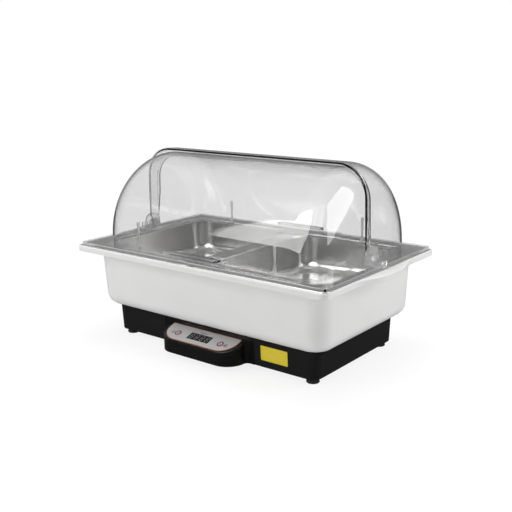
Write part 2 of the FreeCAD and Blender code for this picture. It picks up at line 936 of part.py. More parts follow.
def box_corners(margin, back=None):
    """D-shaped plan of the control box, drawn in by margin."""
    half = C.box_length / 2 - margin
    if back is None:
        back = -panel_back + C.box_wall
    front = -panel_back - C.box_reach + margin
    radius = C.box_corner - margin
    return [(-half, back), (-half, front, radius), (half, front, radius), (half, back)]


def cut_above_slope(body, name, back):
    """Takes away what stands above the control box's slope, in front of back."""
    rise_per_run = panel_rise / C.box_reach
    high = base_bottom + C.box_back_height
    past = C.box_reach + 10
    above = new_sketch(body, "YZ_Plane", name)
    outline(
        above,
        [
            (back, high + rise_per_run * (back + panel_back)),
            (-panel_back - past, high - rise_per_run * past),
            (-panel_back - past, high + 20),
            (back, high + 20),
        ],
    )
    pocket(body, above, f"{name}_cut", both_ways=True)


def add_box_flares(body):
    """Hollow-cheeked spread where each side of the box meets its back plate."""
    half, root = C.box_length / 2, -panel_back
    for label, side in (("left", -1), ("right", 1)):
        flare = new_sketch(body, "XY_Plane", f"flare_{label}", base_bottom)
        places = [
            ((half - 1) * side, root + 1),
            ((half - 1) * side, root - C.box_flare),
            (half * side, root - C.box_flare),
            (half * side, root, C.box_flare - 0.1),
            ((half + C.box_flare) * side, root),
            ((half + C.box_flare) * side, root + 1),
        ]
        outline(flare, places)
        pad(body, flare, f"flare_{label}_pad", C.box_back_height)


def make_control_housing():
    """Moulded D-shaped box with a sloping top, on a back plate let into the base."""
    body = new_body("control_housing")
    wall = C.box_wall
    rise_per_run = panel_rise / C.box_reach
    low, high = base_bottom + C.box_front_height, base_bottom + C.box_back_height
    plan = new_sketch(body, "XY_Plane", "box_plan", base_bottom)
    outline(plan, box_corners(Size(0.0, "0")))
    pad(body, plan, "box_block", C.box_back_height)
    hollow = new_sketch(body, "XY_Plane", "box_hollow", base_bottom + wall)
    outline(hollow, box_corners(wall, -panel_back))
    pocket(body, hollow, "box_hollow_cut", C.box_back_height, reverse=True)
    past = C.box_reach + 10
    lid = new_sketch(body, "YZ_Plane", "lid_section")
    outline(
        lid,
        [
            (-panel_back, high - wall),
            (-panel_back, high),
            (-panel_back - past, high - rise_per_run * past),
            (-panel_back - past, high - wall - rise_per_run * past),
        ],
    )
    pad(body, lid, "sloping_lid", C.box_length - 1, both_ways=True)
    cut_above_slope(body, "above_slope", Size(0.0, "0"))
    outside = new_sketch(body, "XY_Plane", "outside_plan", low - 20)
    box_outline(outside, C.box_length * 2, C.box_reach * 4, None, 0.0, -panel_back)
    outline(outside, box_corners(Size(0.0, "0")))
    pocket(body, outside, "outside_cut", C.box_back_height, reverse=True)
    soften(body, "box_slope_edge", 1.6, lambda edge: is_slope_edge(edge) and edge.Length > 2)
    plate = new_sketch(body, "XZ_Plane", "backplate", panel_back - wall)
    outline(plate, backplate_corners(-0.1))
    pad(body, plate, "backplate_pad", wall)
    add_box_flares(body)
    cut_above_slope(body, "above_flares", -panel_back)
    cable = new_sketch(body, "XZ_Plane", "cable_window")
    middle = base_bottom + C.box_front_height - 9
    box_outline(cable, C.cable_length, C.cable_height, 3.0, 0.0, middle)
    pocket(body, cable, "cable_window_cut", panel_back + 1, reverse=True)
    post_top = -(C.box_wall - 0.4)
    posts = new_slope_sketch(body, "board_posts", board_level() + 0.05)
    for x, y in board_post_places():
        circle(posts, x, y, C.board_post_radius)
    pad(body, posts, "board_posts_pad", post_top - board_level() - 0.05)
    wells = new_slope_sketch(body, "top_wells", 1.0)
    for x, y in button_places():
        circle(wells, x, y, C.button_radius + C.button_flange + C.seat_gap)
    box_outline(
        wells,
        C.display_length - 2,
        C.display_width - 2,
        None,
        0.0,
        -C.display_from_back,
    )
    pocket(body, wells, "top_wells_cut", 1 + C.box_wall * 2)
    return body


def board_post_places():
    dx, dy = C.board_length / 2 - 5, C.board_width / 2 - 4
    return [(dx * sx, -C.display_from_back + dy * sy) for sx in (-1, 1) for sy in (-1, 1)]


def is_slope_edge(edge):
    """True for the outer edges of the sloping face."""
    slope = panel_rise.value / C.box_reach.value
    back, high = -panel_back.value, (base_bottom + C.box_back_height).value
    ends = [vertex.Point for vertex in edge.Vertexes]
    return all(
        abs(p.z - (high + slope * (p.y - back))) < 1e-3 and p.y < back - 1 for p in ends
    )


def on_slope(body, lift=0.0):
    """Places a body drawn flat, with its back edge at y 0, on the control box's slope."""
    return place(
        body,
        0.0,
        -panel_back,
        base_bottom + C.box_back_height + lift,
        V(1, 0, 0),
        panel_angle,
    )


def panel_corners(grow):
    """Plan of the sloping overlay: square at the back, large rounds at the front."""
    half = C.panel_length / 2 + grow
    back = -C.panel_margin + grow
    front = -C.panel_margin - C.panel_depth - grow
    radius = C.panel_corner + grow
    return [
        (-half, back, 3.0),
        (-half, front, radius),
        (half, front, radius),
        (half, back, 3.0),
    ]


def button_places():
    return [
        (C.button_spacing / 2 * side, -C.button_from_back) for side in (-1, 1)
    ]


def make_overlay():
    """Satin metal overlay with a display window and two button holes."""
    body = new_body("control_overlay")
    face = new_sketch(body, "XY_Plane", "overlay_face", 0.05)
    outline(face, panel_corners(Size(0.0, "0")))
    box_outline(
        face,
        C.display_length + C.seat_gap,
        C.display_width + C.seat_gap,
        1.0,
        0.0,
        -C.display_from_back,
    )
    for x, y in button_places():
        circle(face, x, y, C.button_radius + C.seat_gap)
    pad(body, face, "overlay_plate", C.panel_thickness)
    return on_slope(body)


def make_trim():
    """Thin coloured edge strip round the overlay."""
    body = new_body("overlay_trim")
    face = new_sketch(body, "XY_Plane", "trim_face", 0.05)
    outline(face, panel_corners(C.trim_width))
    outline(face, panel_corners(Size(0.02, "0.02")))
    pad(body, face, "trim_strip", C.panel_thickness + 0.15)
    return on_slope(body)


def make_display_window():
    """Dark lens over the digits."""
    body = new_body("display_window")
    face = new_sketch(body, "XY_Plane", "window_face", 0.05)
    box_outline(face, C.display_length, C.display_width, 1.0, 0.0, -C.display_from_back)
    pad(body, face, "window_plate", C.panel_thickness - 0.1)
    return on_slope(body)


def make_display_module():
    """Digit block behind the window: one case with a raised cell for each digit."""
    body = new_body("display_module")
    top = -0.1
    case = new_sketch(body, "XY_Plane", "module_case", -C.display_depth)
    length, width = C.display_length - 5, C.display_width - 5
    box_outline(case, length, width, None, 0.0, -C.display_from_back)
    pad(body, case, "module_block", C.display_depth - 1.1)
    cells = new_sketch(body, "XY_Plane", "digit_cells", top - 1.05)
    pitch = length / C.display_count
    box_outline(
        cells,
        pitch - 1,
        width - 2,
        None,
        (pitch - length) / 2,
        -C.display_from_back,
    )
    first = pad(body, cells, "digit_cell", 1.05)
    row = body.newObject("PartDesign::LinearPattern", "digit_row")
    row.Originals = [first]
    row.Direction = (cells, ["H_Axis"])
    row.setExpression("Length", (length - pitch).formula)
    row.setExpression("Occurrences", C.display_count.formula)
    finish(body, row)
    return on_slope(body)


def board_level():
    """Depth of the control board's face below the slope, in the slope's own frame."""
    return -(C.display_depth + 0.15)


def make_control_board():
    """Printed board that carries the digits and both switches."""
    body = new_body("control_board")
    face = new_sketch(body, "XY_Plane", "board_face", board_level() - C.board_thickness)
    box_outline(face, C.board_length, C.board_width, 2.0, 0.0, -C.display_from_back)
    pad(body, face, "board_plate", C.board_thickness)
    return on_slope(body)


def make_switches():
    """Two tact switches on the board, one under each button."""
    switches = []
    for number, (x, y) in enumerate(button_places(), start=1):
        body = new_body(f"switch_{number}")
        case = new_sketch(body, "XY_Plane", "switch_case", board_level() + 0.05)
        box_outline(case, C.switch_size, C.switch_size, None, x, y)
        pad(body, case, "switch_block", C.switch_height)
        stem = new_sketch(body, "XY_Plane", "switch_stem", board_level() + C.switch_height)
        circle(stem, x, y, 1.7)
        stem_top = -C.button_skirt - C.button_travel - 0.1
        pad(body, stem, "switch_stem_pad", stem_top - board_level() - C.switch_height)
        switches.append(on_slope(body))
    return union("tact_switches", switches)


def make_button(label, number):
    """Low domed button, kept in by a flange under the overlay, that travels into its well."""
    x, y = button_places()[number]
    body = new_body(label)
    profile = new_sketch(body, "XZ_Plane", "button_profile")
    flange = C.button_radius + C.button_flange
    outline(
        profile,
        [
            (0, -C.button_skirt),
            (flange, -C.button_skirt),
            (flange, -C.seat_gap),
            (C.button_radius, -C.seat_gap),
            (C.button_radius, C.panel_thickness + 0.7, 0.4),
            (0, C.panel_thickness + 0.9),
        ],
    )
    revolve(body, profile, "button_turned", "V_Axis")
    plan_scale = C.box_reach / slope_length
    rise_scale = panel_rise / slope_length
    return place(
        body,
        x,
        -panel_back + y * plan_scale,
        base_bottom + C.box_back_height + y * rise_scale,
        V(1, 0, 0),
        panel_angle,
    )


def make_power_board():
    body = new_body("power_board")
    x, y = power_board_place()
    face = new_sketch(
        body, "XY_Plane", "board_face", base_bottom + C.cover_thickness + C.power_board_height + 0.1
    )
    box_outline(face, C.power_board_length, C.power_board_width, 2.0, x, y)
    pad(body, face, "board_plate", C.board_thickness)
    return body


def power_board_top():
    return base_bottom + C.cover_thickness + C.power_board_height + 0.15 + C.board_thickness


def make_relay():
    body = new_body("heater_relay")
    x, y = power_board_place()
    face = new_sketch(body, "XY_Plane", "relay_face", power_board_top())
    box_outline(face, C.relay_length, C.relay_width, 1.0, x - C.power_board_length / 4, y)
    pad(body, face, "relay_block", C.relay_height)
    return body


def make_transformer():
    """Small encapsulated transformer: a moulded block with a stepped top."""
    body = new_body("board_transformer")
    x, y = power_board_place()
    face = new_sketch(body, "XY_Plane", "transformer_face", power_board_top())
    length, width = C.transformer_length, C.transformer_width
    box_outline(face, length, width, 1.5, x + C.power_board_length / 4, y)
    pad(body, face, "transformer_block", C.relay_height)
    step = new_sketch(body, "XY_Plane", "transformer_step", power_board_top() + C.relay_height)
    length, width = length - C.transformer_step * 2, width - C.transformer_step * 2
    box_outline(step, length, width, 1.5, x + C.power_board_length / 4, y)
    pad(body, step, "transformer_top", C.transformer_lip)
    return body


# Water tray


def grip_corners(outset, flange_grow):
    """Plan of the flange with a crescent grip on each short side, going anticlockwise."""
    x, y = flange_length / 2 + flange_grow, flange_width / 2 + flange_grow
    bulge = C.grip_bulge
    reach, flat = C.grip_length / 2 + outset, C.grip_flat / 2 + outset
    corner = C.flange_corner + flange_grow
    right = [
        (x, -y, corner),
        (x, -reach, C.grip_blend),
        (x + bulge, -flat, C.grip_blend),
        (x + bulge, flat, C.grip_blend),
        (x, reach, C.grip_blend),
        (x, y, corner),
    ]
    left = [(-px, -py, radius) for px, py, radius in right]
    return right + left


def make_water_tray():
    """Deep tub with rolled flange, rebate for the pans and a crescent grip at each end."""
    body = new_body("water_tray")
    nothing = Size(0.0, "0")
    wall = C.tub_wall
    lean = slant(C.tub_flare, C.tub_depth)
    floor = new_sketch(body, "XY_Plane", "tub_floor", tub_bottom)
    box_outline(floor, tub_length, tub_width, C.tub_corner)
    pad(body, floor, "tub_outer", rebate_floor - tub_bottom, taper=lean)
    hollow = new_sketch(body, "XY_Plane", "hollow_floor", tub_bottom + wall)
    box_outline(hollow, tub_length - wall * 2, tub_width - wall * 2, C.tub_corner - wall)
    depth = rebate_floor - tub_bottom - wall
    pocket(body, hollow, "tub_hollow", depth + 1, reverse=True, taper=lean)
    soften(body, "hollow_edge_round", C.tub_edge - wall, at_height(tub_bottom + wall))
    soften(body, "tub_edge_round", C.tub_edge, at_height(tub_bottom))
    under_top = rebate_floor - C.flange_wall
    rim = new_sketch(body, "XY_Plane", "flange_plan", under_top)
    outline(rim, grip_corners(nothing, nothing))
    inner_grow = C.tub_flare * 2 - wall
    box_outline(rim, tub_length + inner_grow, tub_width + inner_grow, C.tub_corner)
    pad(body, rim, "flange_plate", flange_top - under_top)
    skirt = new_sketch(body, "XY_Plane", "skirt_plan", flange_top - C.flange_height)
    outline(skirt, grip_corners(nothing, nothing))
    outline(skirt, grip_corners(nothing, -C.flange_wall))
    pad(body, skirt, "flange_skirt", C.flange_height - 1)
    side_reach = (flange_width / 2).value - 1
    end_reach = (flange_length / 2 - C.flange_corner).value
    soften(
        body,
        "flange_round",
        C.flange_edge,
        lambda edge: at_height(flange_top)(edge)
        and (
            max(abs(edge.BoundBox.YMin), abs(edge.BoundBox.YMax)) > side_reach
            or max(abs(edge.BoundBox.XMin), abs(edge.BoundBox.XMax)) > end_reach
        ),
    )
    rebate = new_sketch(body, "XY_Plane", "rebate_plan", rebate_floor)
    box_outline(
        rebate,
        C.pans_length + C.rebate_margin * 2,
        C.pans_width + C.rebate_margin * 2,
        C.rebate_corner,
    )
    pocket(body, rebate, "rebate_cut", C.rebate_depth, reverse=True)
    return body


# Food pans


def make_pan(label, side):
    """Drawn steel pan, half of the tray's length, with a turned-down rim."""
    body = new_body(label)
    length = C.pans_length / 2 - C.pan_gap / 2
    inner, outer = C.pan_gap / 2, C.pans_length / 2
    centre = (inner + outer) / 2 * side
    rim = new_sketch(body, "XY_Plane", "rim_plan", pan_rim_bottom)
    box_outline(rim, length, C.pans_width, C.pan_corner, centre)
    pad(body, rim, "rim_block", C.pan_rim_drop + C.pan_wall)
    soften(body, "rim_round", C.pan_rim_round, at_height(pan_rim_top))
    under = new_sketch(body, "XY_Plane", "rim_underside", pan_rim_bottom)
    box_outline(
        under,
        length - C.pan_wall * 2,
        C.pans_width - C.pan_wall * 2,
        C.pan_corner - C.pan_wall,
        centre,
    )
    pocket(body, under, "rim_underside_cut", C.pan_rim_drop, reverse=True)
    well_inner = inner + C.pan_rim_middle
    well_outer = outer - C.pan_rim_outer
    well_centre = (well_inner + well_outer) / 2 * side
    well_length = well_outer - well_inner
    well_width = C.pans_width - C.pan_rim_side * 2
    floor = pan_rim_top - C.pan_depth
    depth = C.pan_depth - C.pan_wall
    lean = slant(C.well_draft, depth)
    foot = new_sketch(body, "XY_Plane", "well_floor", floor)
    box_outline(
        foot,
        well_length - C.well_draft * 2,
        well_width - C.well_draft * 2,
        C.well_corner - C.well_draft,
        well_centre,
    )
    pad(body, foot, "well_outer", depth, taper=lean)
    hollow = new_sketch(body, "XY_Plane", "hollow_floor", floor + C.pan_wall)
    box_outline(
        hollow,
        well_length - (C.well_draft + C.pan_wall) * 2,
        well_width - (C.well_draft + C.pan_wall) * 2,
        C.well_corner - C.well_draft - C.pan_wall,
        well_centre,
    )
    pocket(body, hollow, "well_hollow", depth, reverse=True, taper=lean)
    soften(body, "hollow_edge_round", C.well_edge - C.pan_wall, at_height(floor + C.pan_wall))
    soften(body, "well_edge_round", C.well_edge, at_height(floor))
    reach = (well_length / 2 + 1).value
    half_width = (well_width / 2 + 1).value
    middle = well_centre.value
    soften(
        body,
        "well_lip_round",
        C.well_lip,
        lambda edge: at_height(pan_rim_top)(edge)
        and abs(edge.BoundBox.Center.x - middle) < reach
        and abs(edge.BoundBox.Center.y) < half_width,
    )
    return body


# Lid frame, posts, brackets and pins


def make_lid_frame():
    """Clear ring that rests on the pan rims, with an upstanding bead round its outside."""
    body = new_body("lid_frame")
    plan = new_sketch(body, "XY_Plane", "frame_plan", frame_bottom)
    box_outline(plan, frame_length, frame_width, C.frame_corner)
    box_outline(
        plan,
        frame_length - C.frame_band_ends * 2,
        frame_width - C.frame_band_sides * 2,
        C.frame_corner,
    )
    pad(body, plan, "frame_ring", C.frame_thickness)
    bead = new_sketch(body, "XY_Plane", "bead_plan", frame_top)
    box_outline(bead, frame_length, frame_width, C.frame_corner)
    box_outline(
        bead,
        frame_length - C.frame_bead * 2,
        frame_width - C.frame_bead * 2,
        C.frame_corner - C.frame_bead,
    )
    pad(body, bead, "outer_bead", C.frame_bead_height)
    studs = new_sketch(body, "XY_Plane", "stud_places", frame_top)
    for sx in (-1, 1):
        for sy in (-1, 1):
            circle(studs, C.stud_spacing / 2 * sx, stud_offset * sy, C.stud_radius)
    pad(body, studs, "rest_studs", C.stud_height)
    return body


def make_post(label, sx, sy):
    """Slim clear post with a teardrop foot, a narrow waist and a fuller rounded top."""
    body = new_body(label)
    profile = new_sketch(body, "XZ_Plane", "post_profile")
    outline(
        profile,
        [
            (0, 0),
            (C.post_foot_radius, 0),
            (C.post_foot_radius, C.post_waist_height * 0.35, 1.5),
            (C.post_waist_radius, C.post_waist_height, 6.0),
            (C.post_top_radius, C.post_height, 1.2),
            (0, C.post_height),
        ],
    )
    revolve(body, profile, "post_turned", "V_Axis")
    return place(body, C.post_spacing / 2 * sx, post_offset * sy, frame_top)


def bracket_inside():
    """Distance from the middle to the inner face of a bracket's upright."""
    return back_length / 2 + C.seam_lip_out + C.slip_gap


def make_bracket(label, side):
    """Upright hinge ear on a foot, with a clip that hooks over the frame's bead."""
    body = new_body(label)
    inside = bracket_inside()
    ear = new_sketch(body, "YZ_Plane", "ear_plan", inside * side)
    half = C.bracket_width / 2
    top = frame_top + C.bracket_height
    foot = frame_top + 0.05
    outline(
        ear,
        [
            (-half, foot),
            (half, foot),
            (half * 0.74, top, C.bracket_corner),
            (half * -0.74, top, C.bracket_corner),
        ],
    )
    circle(ear, 0, hinge_height, C.pin_radius + C.pin_play)
    pad(body, ear, "ear", C.bracket_thickness, reverse=side < 0)
    sole = new_sketch(body, "XY_Plane", "foot_plan", foot)
    outer = frame_length / 2 - C.frame_bead - 0.1
    box_outline(
        sole,
        outer - inside,
        C.bracket_foot_width,
        None,
        (outer + inside) / 2 * side,
    )
    pad(body, sole, "foot_plate", C.bracket_thickness)
    gusset = new_sketch(body, "XZ_Plane", "gusset_plan")
    root = inside + C.bracket_thickness
    outline(
        gusset,
        [
            ((root - 0.5) * side, foot),
            ((outer - 2) * side, foot),
            ((root - 0.5) * side, foot + C.bracket_height * C.gusset_share),
        ],
    )
    for number, away in enumerate((-1, 1), start=1):
        rib = body.newObject("PartDesign::Pad", f"gusset_{number}")
        rib.Profile = gusset
        rib.SideType = "Two sides"
        edge_far = C.bracket_foot_width / 2
        edge_near = -(C.bracket_foot_width / 2 - C.bracket_thickness)
        first, second = (edge_far, edge_near) if away > 0 else (edge_near, edge_far)
        rib.setExpression("Length", first.formula)
        rib.setExpression("Length2", second.formula)
        finish(body, rib)
    clip = new_sketch(body, "XZ_Plane", "clip_plan")
    bead_top = frame_top + C.frame_bead_height + 0.2
    edge = frame_length / 2 + 0.2
    outline(
        clip,
        [
            ((outer - 4) * side, bead_top - 0.2),
            ((outer - 0.2) * side, bead_top),
            (edge * side, bead_top),
            (edge * side, frame_bottom + 0.4),
            ((edge + C.clip_thickness) * side, frame_bottom + 0.4),
            ((edge + C.clip_thickness) * side, bead_top + C.clip_rise, 1.2),
            ((edge + 0.4) * side, bead_top + C.clip_rise, 1.2),
            ((edge - 0.8) * side, bead_top + C.clip_thickness),
            ((outer - 4) * side, bead_top + C.clip_thickness),
        ],
    )
    pad(body, clip, "clip", C.clip_width, both_ways=True)
    return body


def pin_inside():
    """Where a pin's inner washer ends: just inside the front cover's hub."""
    return front_length / 2 - C.cover_wall - C.hub_thickness - C.slip_gap


def make_pin(label, side):
    """Stepped hinge pin: outer head, shank through bracket and covers, inner disc."""
    body = new_body(label)
    profile = new_sketch(body, "XZ_Plane", "pin_profile")
    face = bracket_inside() + C.bracket_thickness + 0.1
    shank, head = C.pin_radius, C.pin_head_radius
    inner = pin_inside()
    ends = [
        (inner - C.washer_thickness, 0),
        (inner - C.washer_thickness, head, 0.6),
        (inner, head),
        (inner, shank),
        (face, shank),
        (face, head),
        (face + C.pin_head_thickness, head, 1.0),
        (face + C.pin_head_thickness, 0),
    ]
    outline(profile, [(e[0] * side, *e[1:]) for e in ends])
    revolve(body, profile, "pin_turned", "H_Axis")
    return place(body, 0, 0, hinge_height)


# Roll-top covers


def shell_corners(length, radius, inset):
    """Half outline of a cover in the plane of its axis, drawn in by inset."""
    foot = length / 2 - inset
    top = length / 2 - C.cover_draft - inset
    height = radius - inset
    return foot, top, height, C.cover_round - inset


def make_cover(label, length, radius, side):
    """Clear quarter-barrel: a thin shell turned about the hinge axis and trimmed.

    side is -1 for the front cover and 1 for the back one. The body is drawn about the
    hinge axis and then lifted to it.
    """
    body = new_body(label)
    wall = C.cover_wall
    nothing = Size(0.0, "0")
    foot, top, height, bend = shell_corners(length, radius, nothing)
    foot_in, top_in, height_in, bend_in = shell_corners(length, radius, wall)
    profile = new_sketch(body, "XZ_Plane", "shell_profile")
    outline(
        profile,
        [
            (-foot, 0),
            (-top, height, bend),
            (top, height, bend),
            (foot, 0),
            (foot_in, 0),
            (top_in, height_in, bend_in),
            (-top_in, height_in, bend_in),
            (-foot_in, 0),
        ],
    )
    revolve(body, profile, "shell_turned", "H_Axis")
    trim = new_sketch(body, "YZ_Plane", "trim_plan")
    far = radius + 20
    seam = C.seam_half
    bottom = -(C.hinge_rise - C.slip_gap * 2)
    nose = Size(
        math.sqrt(bottom.value**2 - seam.value**2),
        f"sqrt(({bottom.formula}) ^ 2 - ({seam.formula}) ^ 2)",
    )
    box_outline(trim, far * 2, far * 2)
    trim_outline(trim, far, seam, bottom, nose, side)
    pocket(body, trim, "trim_cut", both_ways=True)
    hubs = new_sketch(body, "YZ_Plane", "hub_plan", foot_in)
    circle(hubs, 0, 0, C.hub_radius)
    pad(body, hubs, "hub_right", C.hub_thickness, reverse=True)
    hubs = new_sketch(body, "YZ_Plane", "hub_plan_left", -foot_in)
    circle(hubs, 0, 0, C.hub_radius)
    pad(body, hubs, "hub_left", C.hub_thickness)
    bores = new_sketch(body, "YZ_Plane", "bore_plan")
    circle(bores, 0, 0, C.pin_radius + C.pin_play)
    pocket(body, bores, "bore_cut", both_ways=True)
    add_seam_rib(body, length, radius, side)
    add_tab(body, radius, side)
    return place(body, 0, 0, hinge_height)


def trim_outline(sketch, far, seam, bottom, nose, side):
    """Keeps one quarter: to the seam plane, down to the frame, rounded under the hinge."""
    outer = far - 5
    points = [
        (outer * side, bottom),
        (outer * side, outer),
        (seam * -side, outer),
        (seam * -side, -nose),
        (0, bottom),
    ]
    vectors = [V(size(x).value, size(y).value, 0) for x, y in points]
    lines = [
        sketch.addGeometry(Part.LineSegment(start, end))
        for start, end in zip(vectors[:3], vectors[1:4])
    ]
    last = sketch.addGeometry(Part.LineSegment(vectors[4], vectors[0]))
    ends = (vectors[3], vectors[4]) if side > 0 else (vectors[4], vectors[3])
    arc = sketch.addGeometry(arc_between(V(0, 0, 0), *ends))
    for line, (x, y) in zip(lines, points):
        pin(sketch, line, 1, x, y)
    for before, after in zip(lines, lines[1:]):
        sketch.addConstraint(Sketcher.Constraint("Coincident", before, 2, after, 1))
    start_is_nose = (sketch.Geometry[arc].StartPoint - vectors[3]).Length < 1e-6
    first, second = (1, 2) if start_is_nose else (2, 1)
    sketch.addConstraint(Sketcher.Constraint("Coincident", lines[-1], 2, arc, first))
    sketch.addConstraint(Sketcher.Constraint("Coincident", arc, second, last, 1))
    sketch.addConstraint(Sketcher.Constraint("Coincident", last, 2, lines[0], 1))
    sketch.addConstraint(Sketcher.Constraint("Coincident", arc, 3, -1, 1))
    bind(sketch, "Radius", arc, -bottom)
    bind(sketch, "DistanceX", -1, 1, arc, first, seam * -side)
    sketch.addConstraint(Sketcher.Constraint("PointOnObject", last, 1, -2))


def add_seam_rib(body, length, radius, side):
    """Stiffening lip along the seam edge: inwards on the front cover, outwards on the back."""
    outwards = side > 0
    wall_middle = C.cover_wall / 2
    start = C.hub_radius + 4
    if outwards:
        near, far = wall_middle, -C.seam_lip_out
    else:
        near, far = wall_middle, C.cover_wall + C.seam_lip_in
    foot_a, top_a, height_a, bend_a = shell_corners(length, radius, near)
    foot_b, top_b, height_b, bend_b = shell_corners(length, radius, size(far))
    seam = C.seam_half
    rib = new_sketch(body, "XZ_Plane", "seam_rib_plan", seam * side)
    drop = C.seam_drop
    outline(
        rib,
        [
            (-foot_a, start),
            (-top_a, height_a - drop, bend_a),
            (top_a, height_a - drop, bend_a),
            (foot_a, start),
            (foot_b, start),
            (top_b, height_b - drop, bend_b),
            (-top_b, height_b - drop, bend_b),
            (-foot_b, start),
        ],
    )
    pad(body, rib, "seam_rib", C.seam_rib, reverse=side > 0)


def add_tab(body, radius, side):
    """Finger tab along the middle of the lower edge, with a grip ridge under its tip."""
    low = -(C.hinge_rise - C.slip_gap * 2) + C.tab_curl
    root = radius - C.cover_wall * 0.6
    tip = radius + C.tab_reach
    half = C.tab_length / 2
    plan = new_sketch(body, "XY_Plane", "tab_plan", low)
    outline(
        plan,
        [
            (-half, root * side),
            (half, root * side),
            (half, tip * side, C.tab_corner),
            (-half, tip * side, C.tab_corner),
        ],
    )
    pad(body, plan, "tab", C.tab_thickness)
    ridge = new_sketch(body, "XY_Plane", "ridge_plan", low + 0.5)
    box_outline(
        ridge,
        C.tab_length * 0.45,
        C.tab_curl * 0.6,
        C.tab_curl * 0.28,
        0.0,
        (tip - C.tab_curl * 0.8) * side,
    )
    pad(body, ridge, "tab_ridge", C.tab_curl * 0.5, reverse=True)
    upper = (low + C.tab_thickness).value
    edge_line = (radius + 1).value
    soften(
        body,
        "tab_round",
        0.9,
        lambda edge: at_height(upper)(edge) and abs(edge.BoundBox.Center.y) > edge_line,
    )


def write_parts(nodes):
    """Checks every object and every sub-part's shape, then writes one STEP file each."""
    doc.recompute()
    broken = [
        f"{item.Label}: {item.State}"
        for item in doc.Objects
        if "Invalid" in item.State or "Error" in item.State
    ]
    if broken:
        raise RuntimeError("failed objects: " + "; ".join(broken))
    for node in nodes:
        if node.Shape.isNull() or not node.Shape.isValid() or not node.Shape.Solids:
            raise RuntimeError(f"{node.Label} has no valid solid")
    os.makedirs("parts", exist_ok=True)
    for node in nodes:
        node.Shape.exportStep(f"parts/{node.Label}.step")
        print(f"{node.Label}: {len(node.Shape.Solids)} solid(s), {node.Shape.Volume:.0f} mm3")


nodes = [
    make_base_housing(),
    make_bottom_cover(),
    make_feet(),
    make_foot_screws(),
    make_cover_screws(),
    make_hot_plate(),
    make_heating_element(),
    make_reflector(),
    make_insulation(),
    make_sensor("temperature_sensor", -C.sensor_offset, C.sensor_radius, C.sensor_height),
    make_sensor("thermal_cutout", C.sensor_offset, C.cutout_radius, C.cutout_height),
    make_inlet(),
    make_control_housing(),
    make_overlay(),
    make_trim(),
    make_display_window(),
    make_display_module(),
    make_control_board(),
    make_switches(),
    make_button("power_button", 0),
    make_button("set_button", 1),
    make_power_board(),
    make_relay(),
    make_transformer(),
    make_water_tray(),
    make_pan("left_food_pan", -1),
    make_pan("right_food_pan", 1),
    make_lid_frame(),
    make_post("front_left_post", -1, -1),
    make_post("front_right_post", 1, -1),
    make_post("back_left_post", -1, 1),
    make_post("back_right_post", 1, 1),
    make_bracket("left_hinge_bracket", -1),
    make_bracket("right_hinge_bracket", 1),
    make_pin("left_hinge_pin", -1),
    make_pin("right_hinge_pin", 1),
    make_cover("front_cover", front_length, front_radius, -1),
    make_cover("back_cover", back_length, back_radius, 1),
]
write_parts(nodes)
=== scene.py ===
# Electric chafing dish: shapes, finishes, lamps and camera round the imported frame.
import bmesh
import bpy
import json
import math
from mathutils import Matrix, Vector


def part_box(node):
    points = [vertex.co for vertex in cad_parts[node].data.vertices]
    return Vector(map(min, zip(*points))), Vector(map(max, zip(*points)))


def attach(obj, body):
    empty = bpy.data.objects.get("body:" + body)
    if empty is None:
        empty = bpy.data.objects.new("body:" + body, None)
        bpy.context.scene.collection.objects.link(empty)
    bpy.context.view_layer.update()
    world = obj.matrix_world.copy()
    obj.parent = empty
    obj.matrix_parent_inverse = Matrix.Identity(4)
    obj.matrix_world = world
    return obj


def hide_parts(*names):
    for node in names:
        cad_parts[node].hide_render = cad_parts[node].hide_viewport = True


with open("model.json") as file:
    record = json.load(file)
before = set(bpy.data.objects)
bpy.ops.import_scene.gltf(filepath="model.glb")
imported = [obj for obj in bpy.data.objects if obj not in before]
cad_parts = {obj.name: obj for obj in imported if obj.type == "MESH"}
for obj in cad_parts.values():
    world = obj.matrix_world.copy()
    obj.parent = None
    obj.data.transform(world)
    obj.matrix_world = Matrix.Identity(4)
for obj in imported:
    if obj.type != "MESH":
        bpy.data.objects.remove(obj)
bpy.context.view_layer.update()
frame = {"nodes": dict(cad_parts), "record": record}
mm = 0.001                                  # every size below is in millimetres
print("frame loaded")


# Camera

cameraSet = {
    "place": (872.8, -1080.7, 501.7),
    "target": (24.1, -16.8, 159.6),
    "roll": -0.9,                           # degrees, clockwise lean of the picture
    "lens": 57.2,
    "sensor": 36.0,
}


def makeCamera(sizes):
    data = bpy.data.cameras.new("camera")
    data.lens = sizes["lens"]
    data.sensor_width = sizes["sensor"]
    data.clip_start = 0.05
    data.clip_end = 50
    camera = bpy.data.objects.new("camera", data)
    place = Vector(sizes["place"]) * mm
    ahead = (Vector(sizes["target"]) * mm - place).normalized()
    level = ahead.cross(Vector((0, 0, 1))).normalized()
    upright = level.cross(ahead)
    lean = math.radians(sizes["roll"])
    across = level * math.cos(lean) + upright * math.sin(lean)
    up = upright * math.cos(lean) - level * math.sin(lean)
    turn = Matrix((across, up, -ahead)).transposed().to_4x4()
    camera.matrix_world = Matrix.Translation(place) @ turn
    bpy.context.collection.objects.link(camera)
    bpy.context.scene.camera = camera


makeCamera(cameraSet)
print("camera set")


# Shader helpers

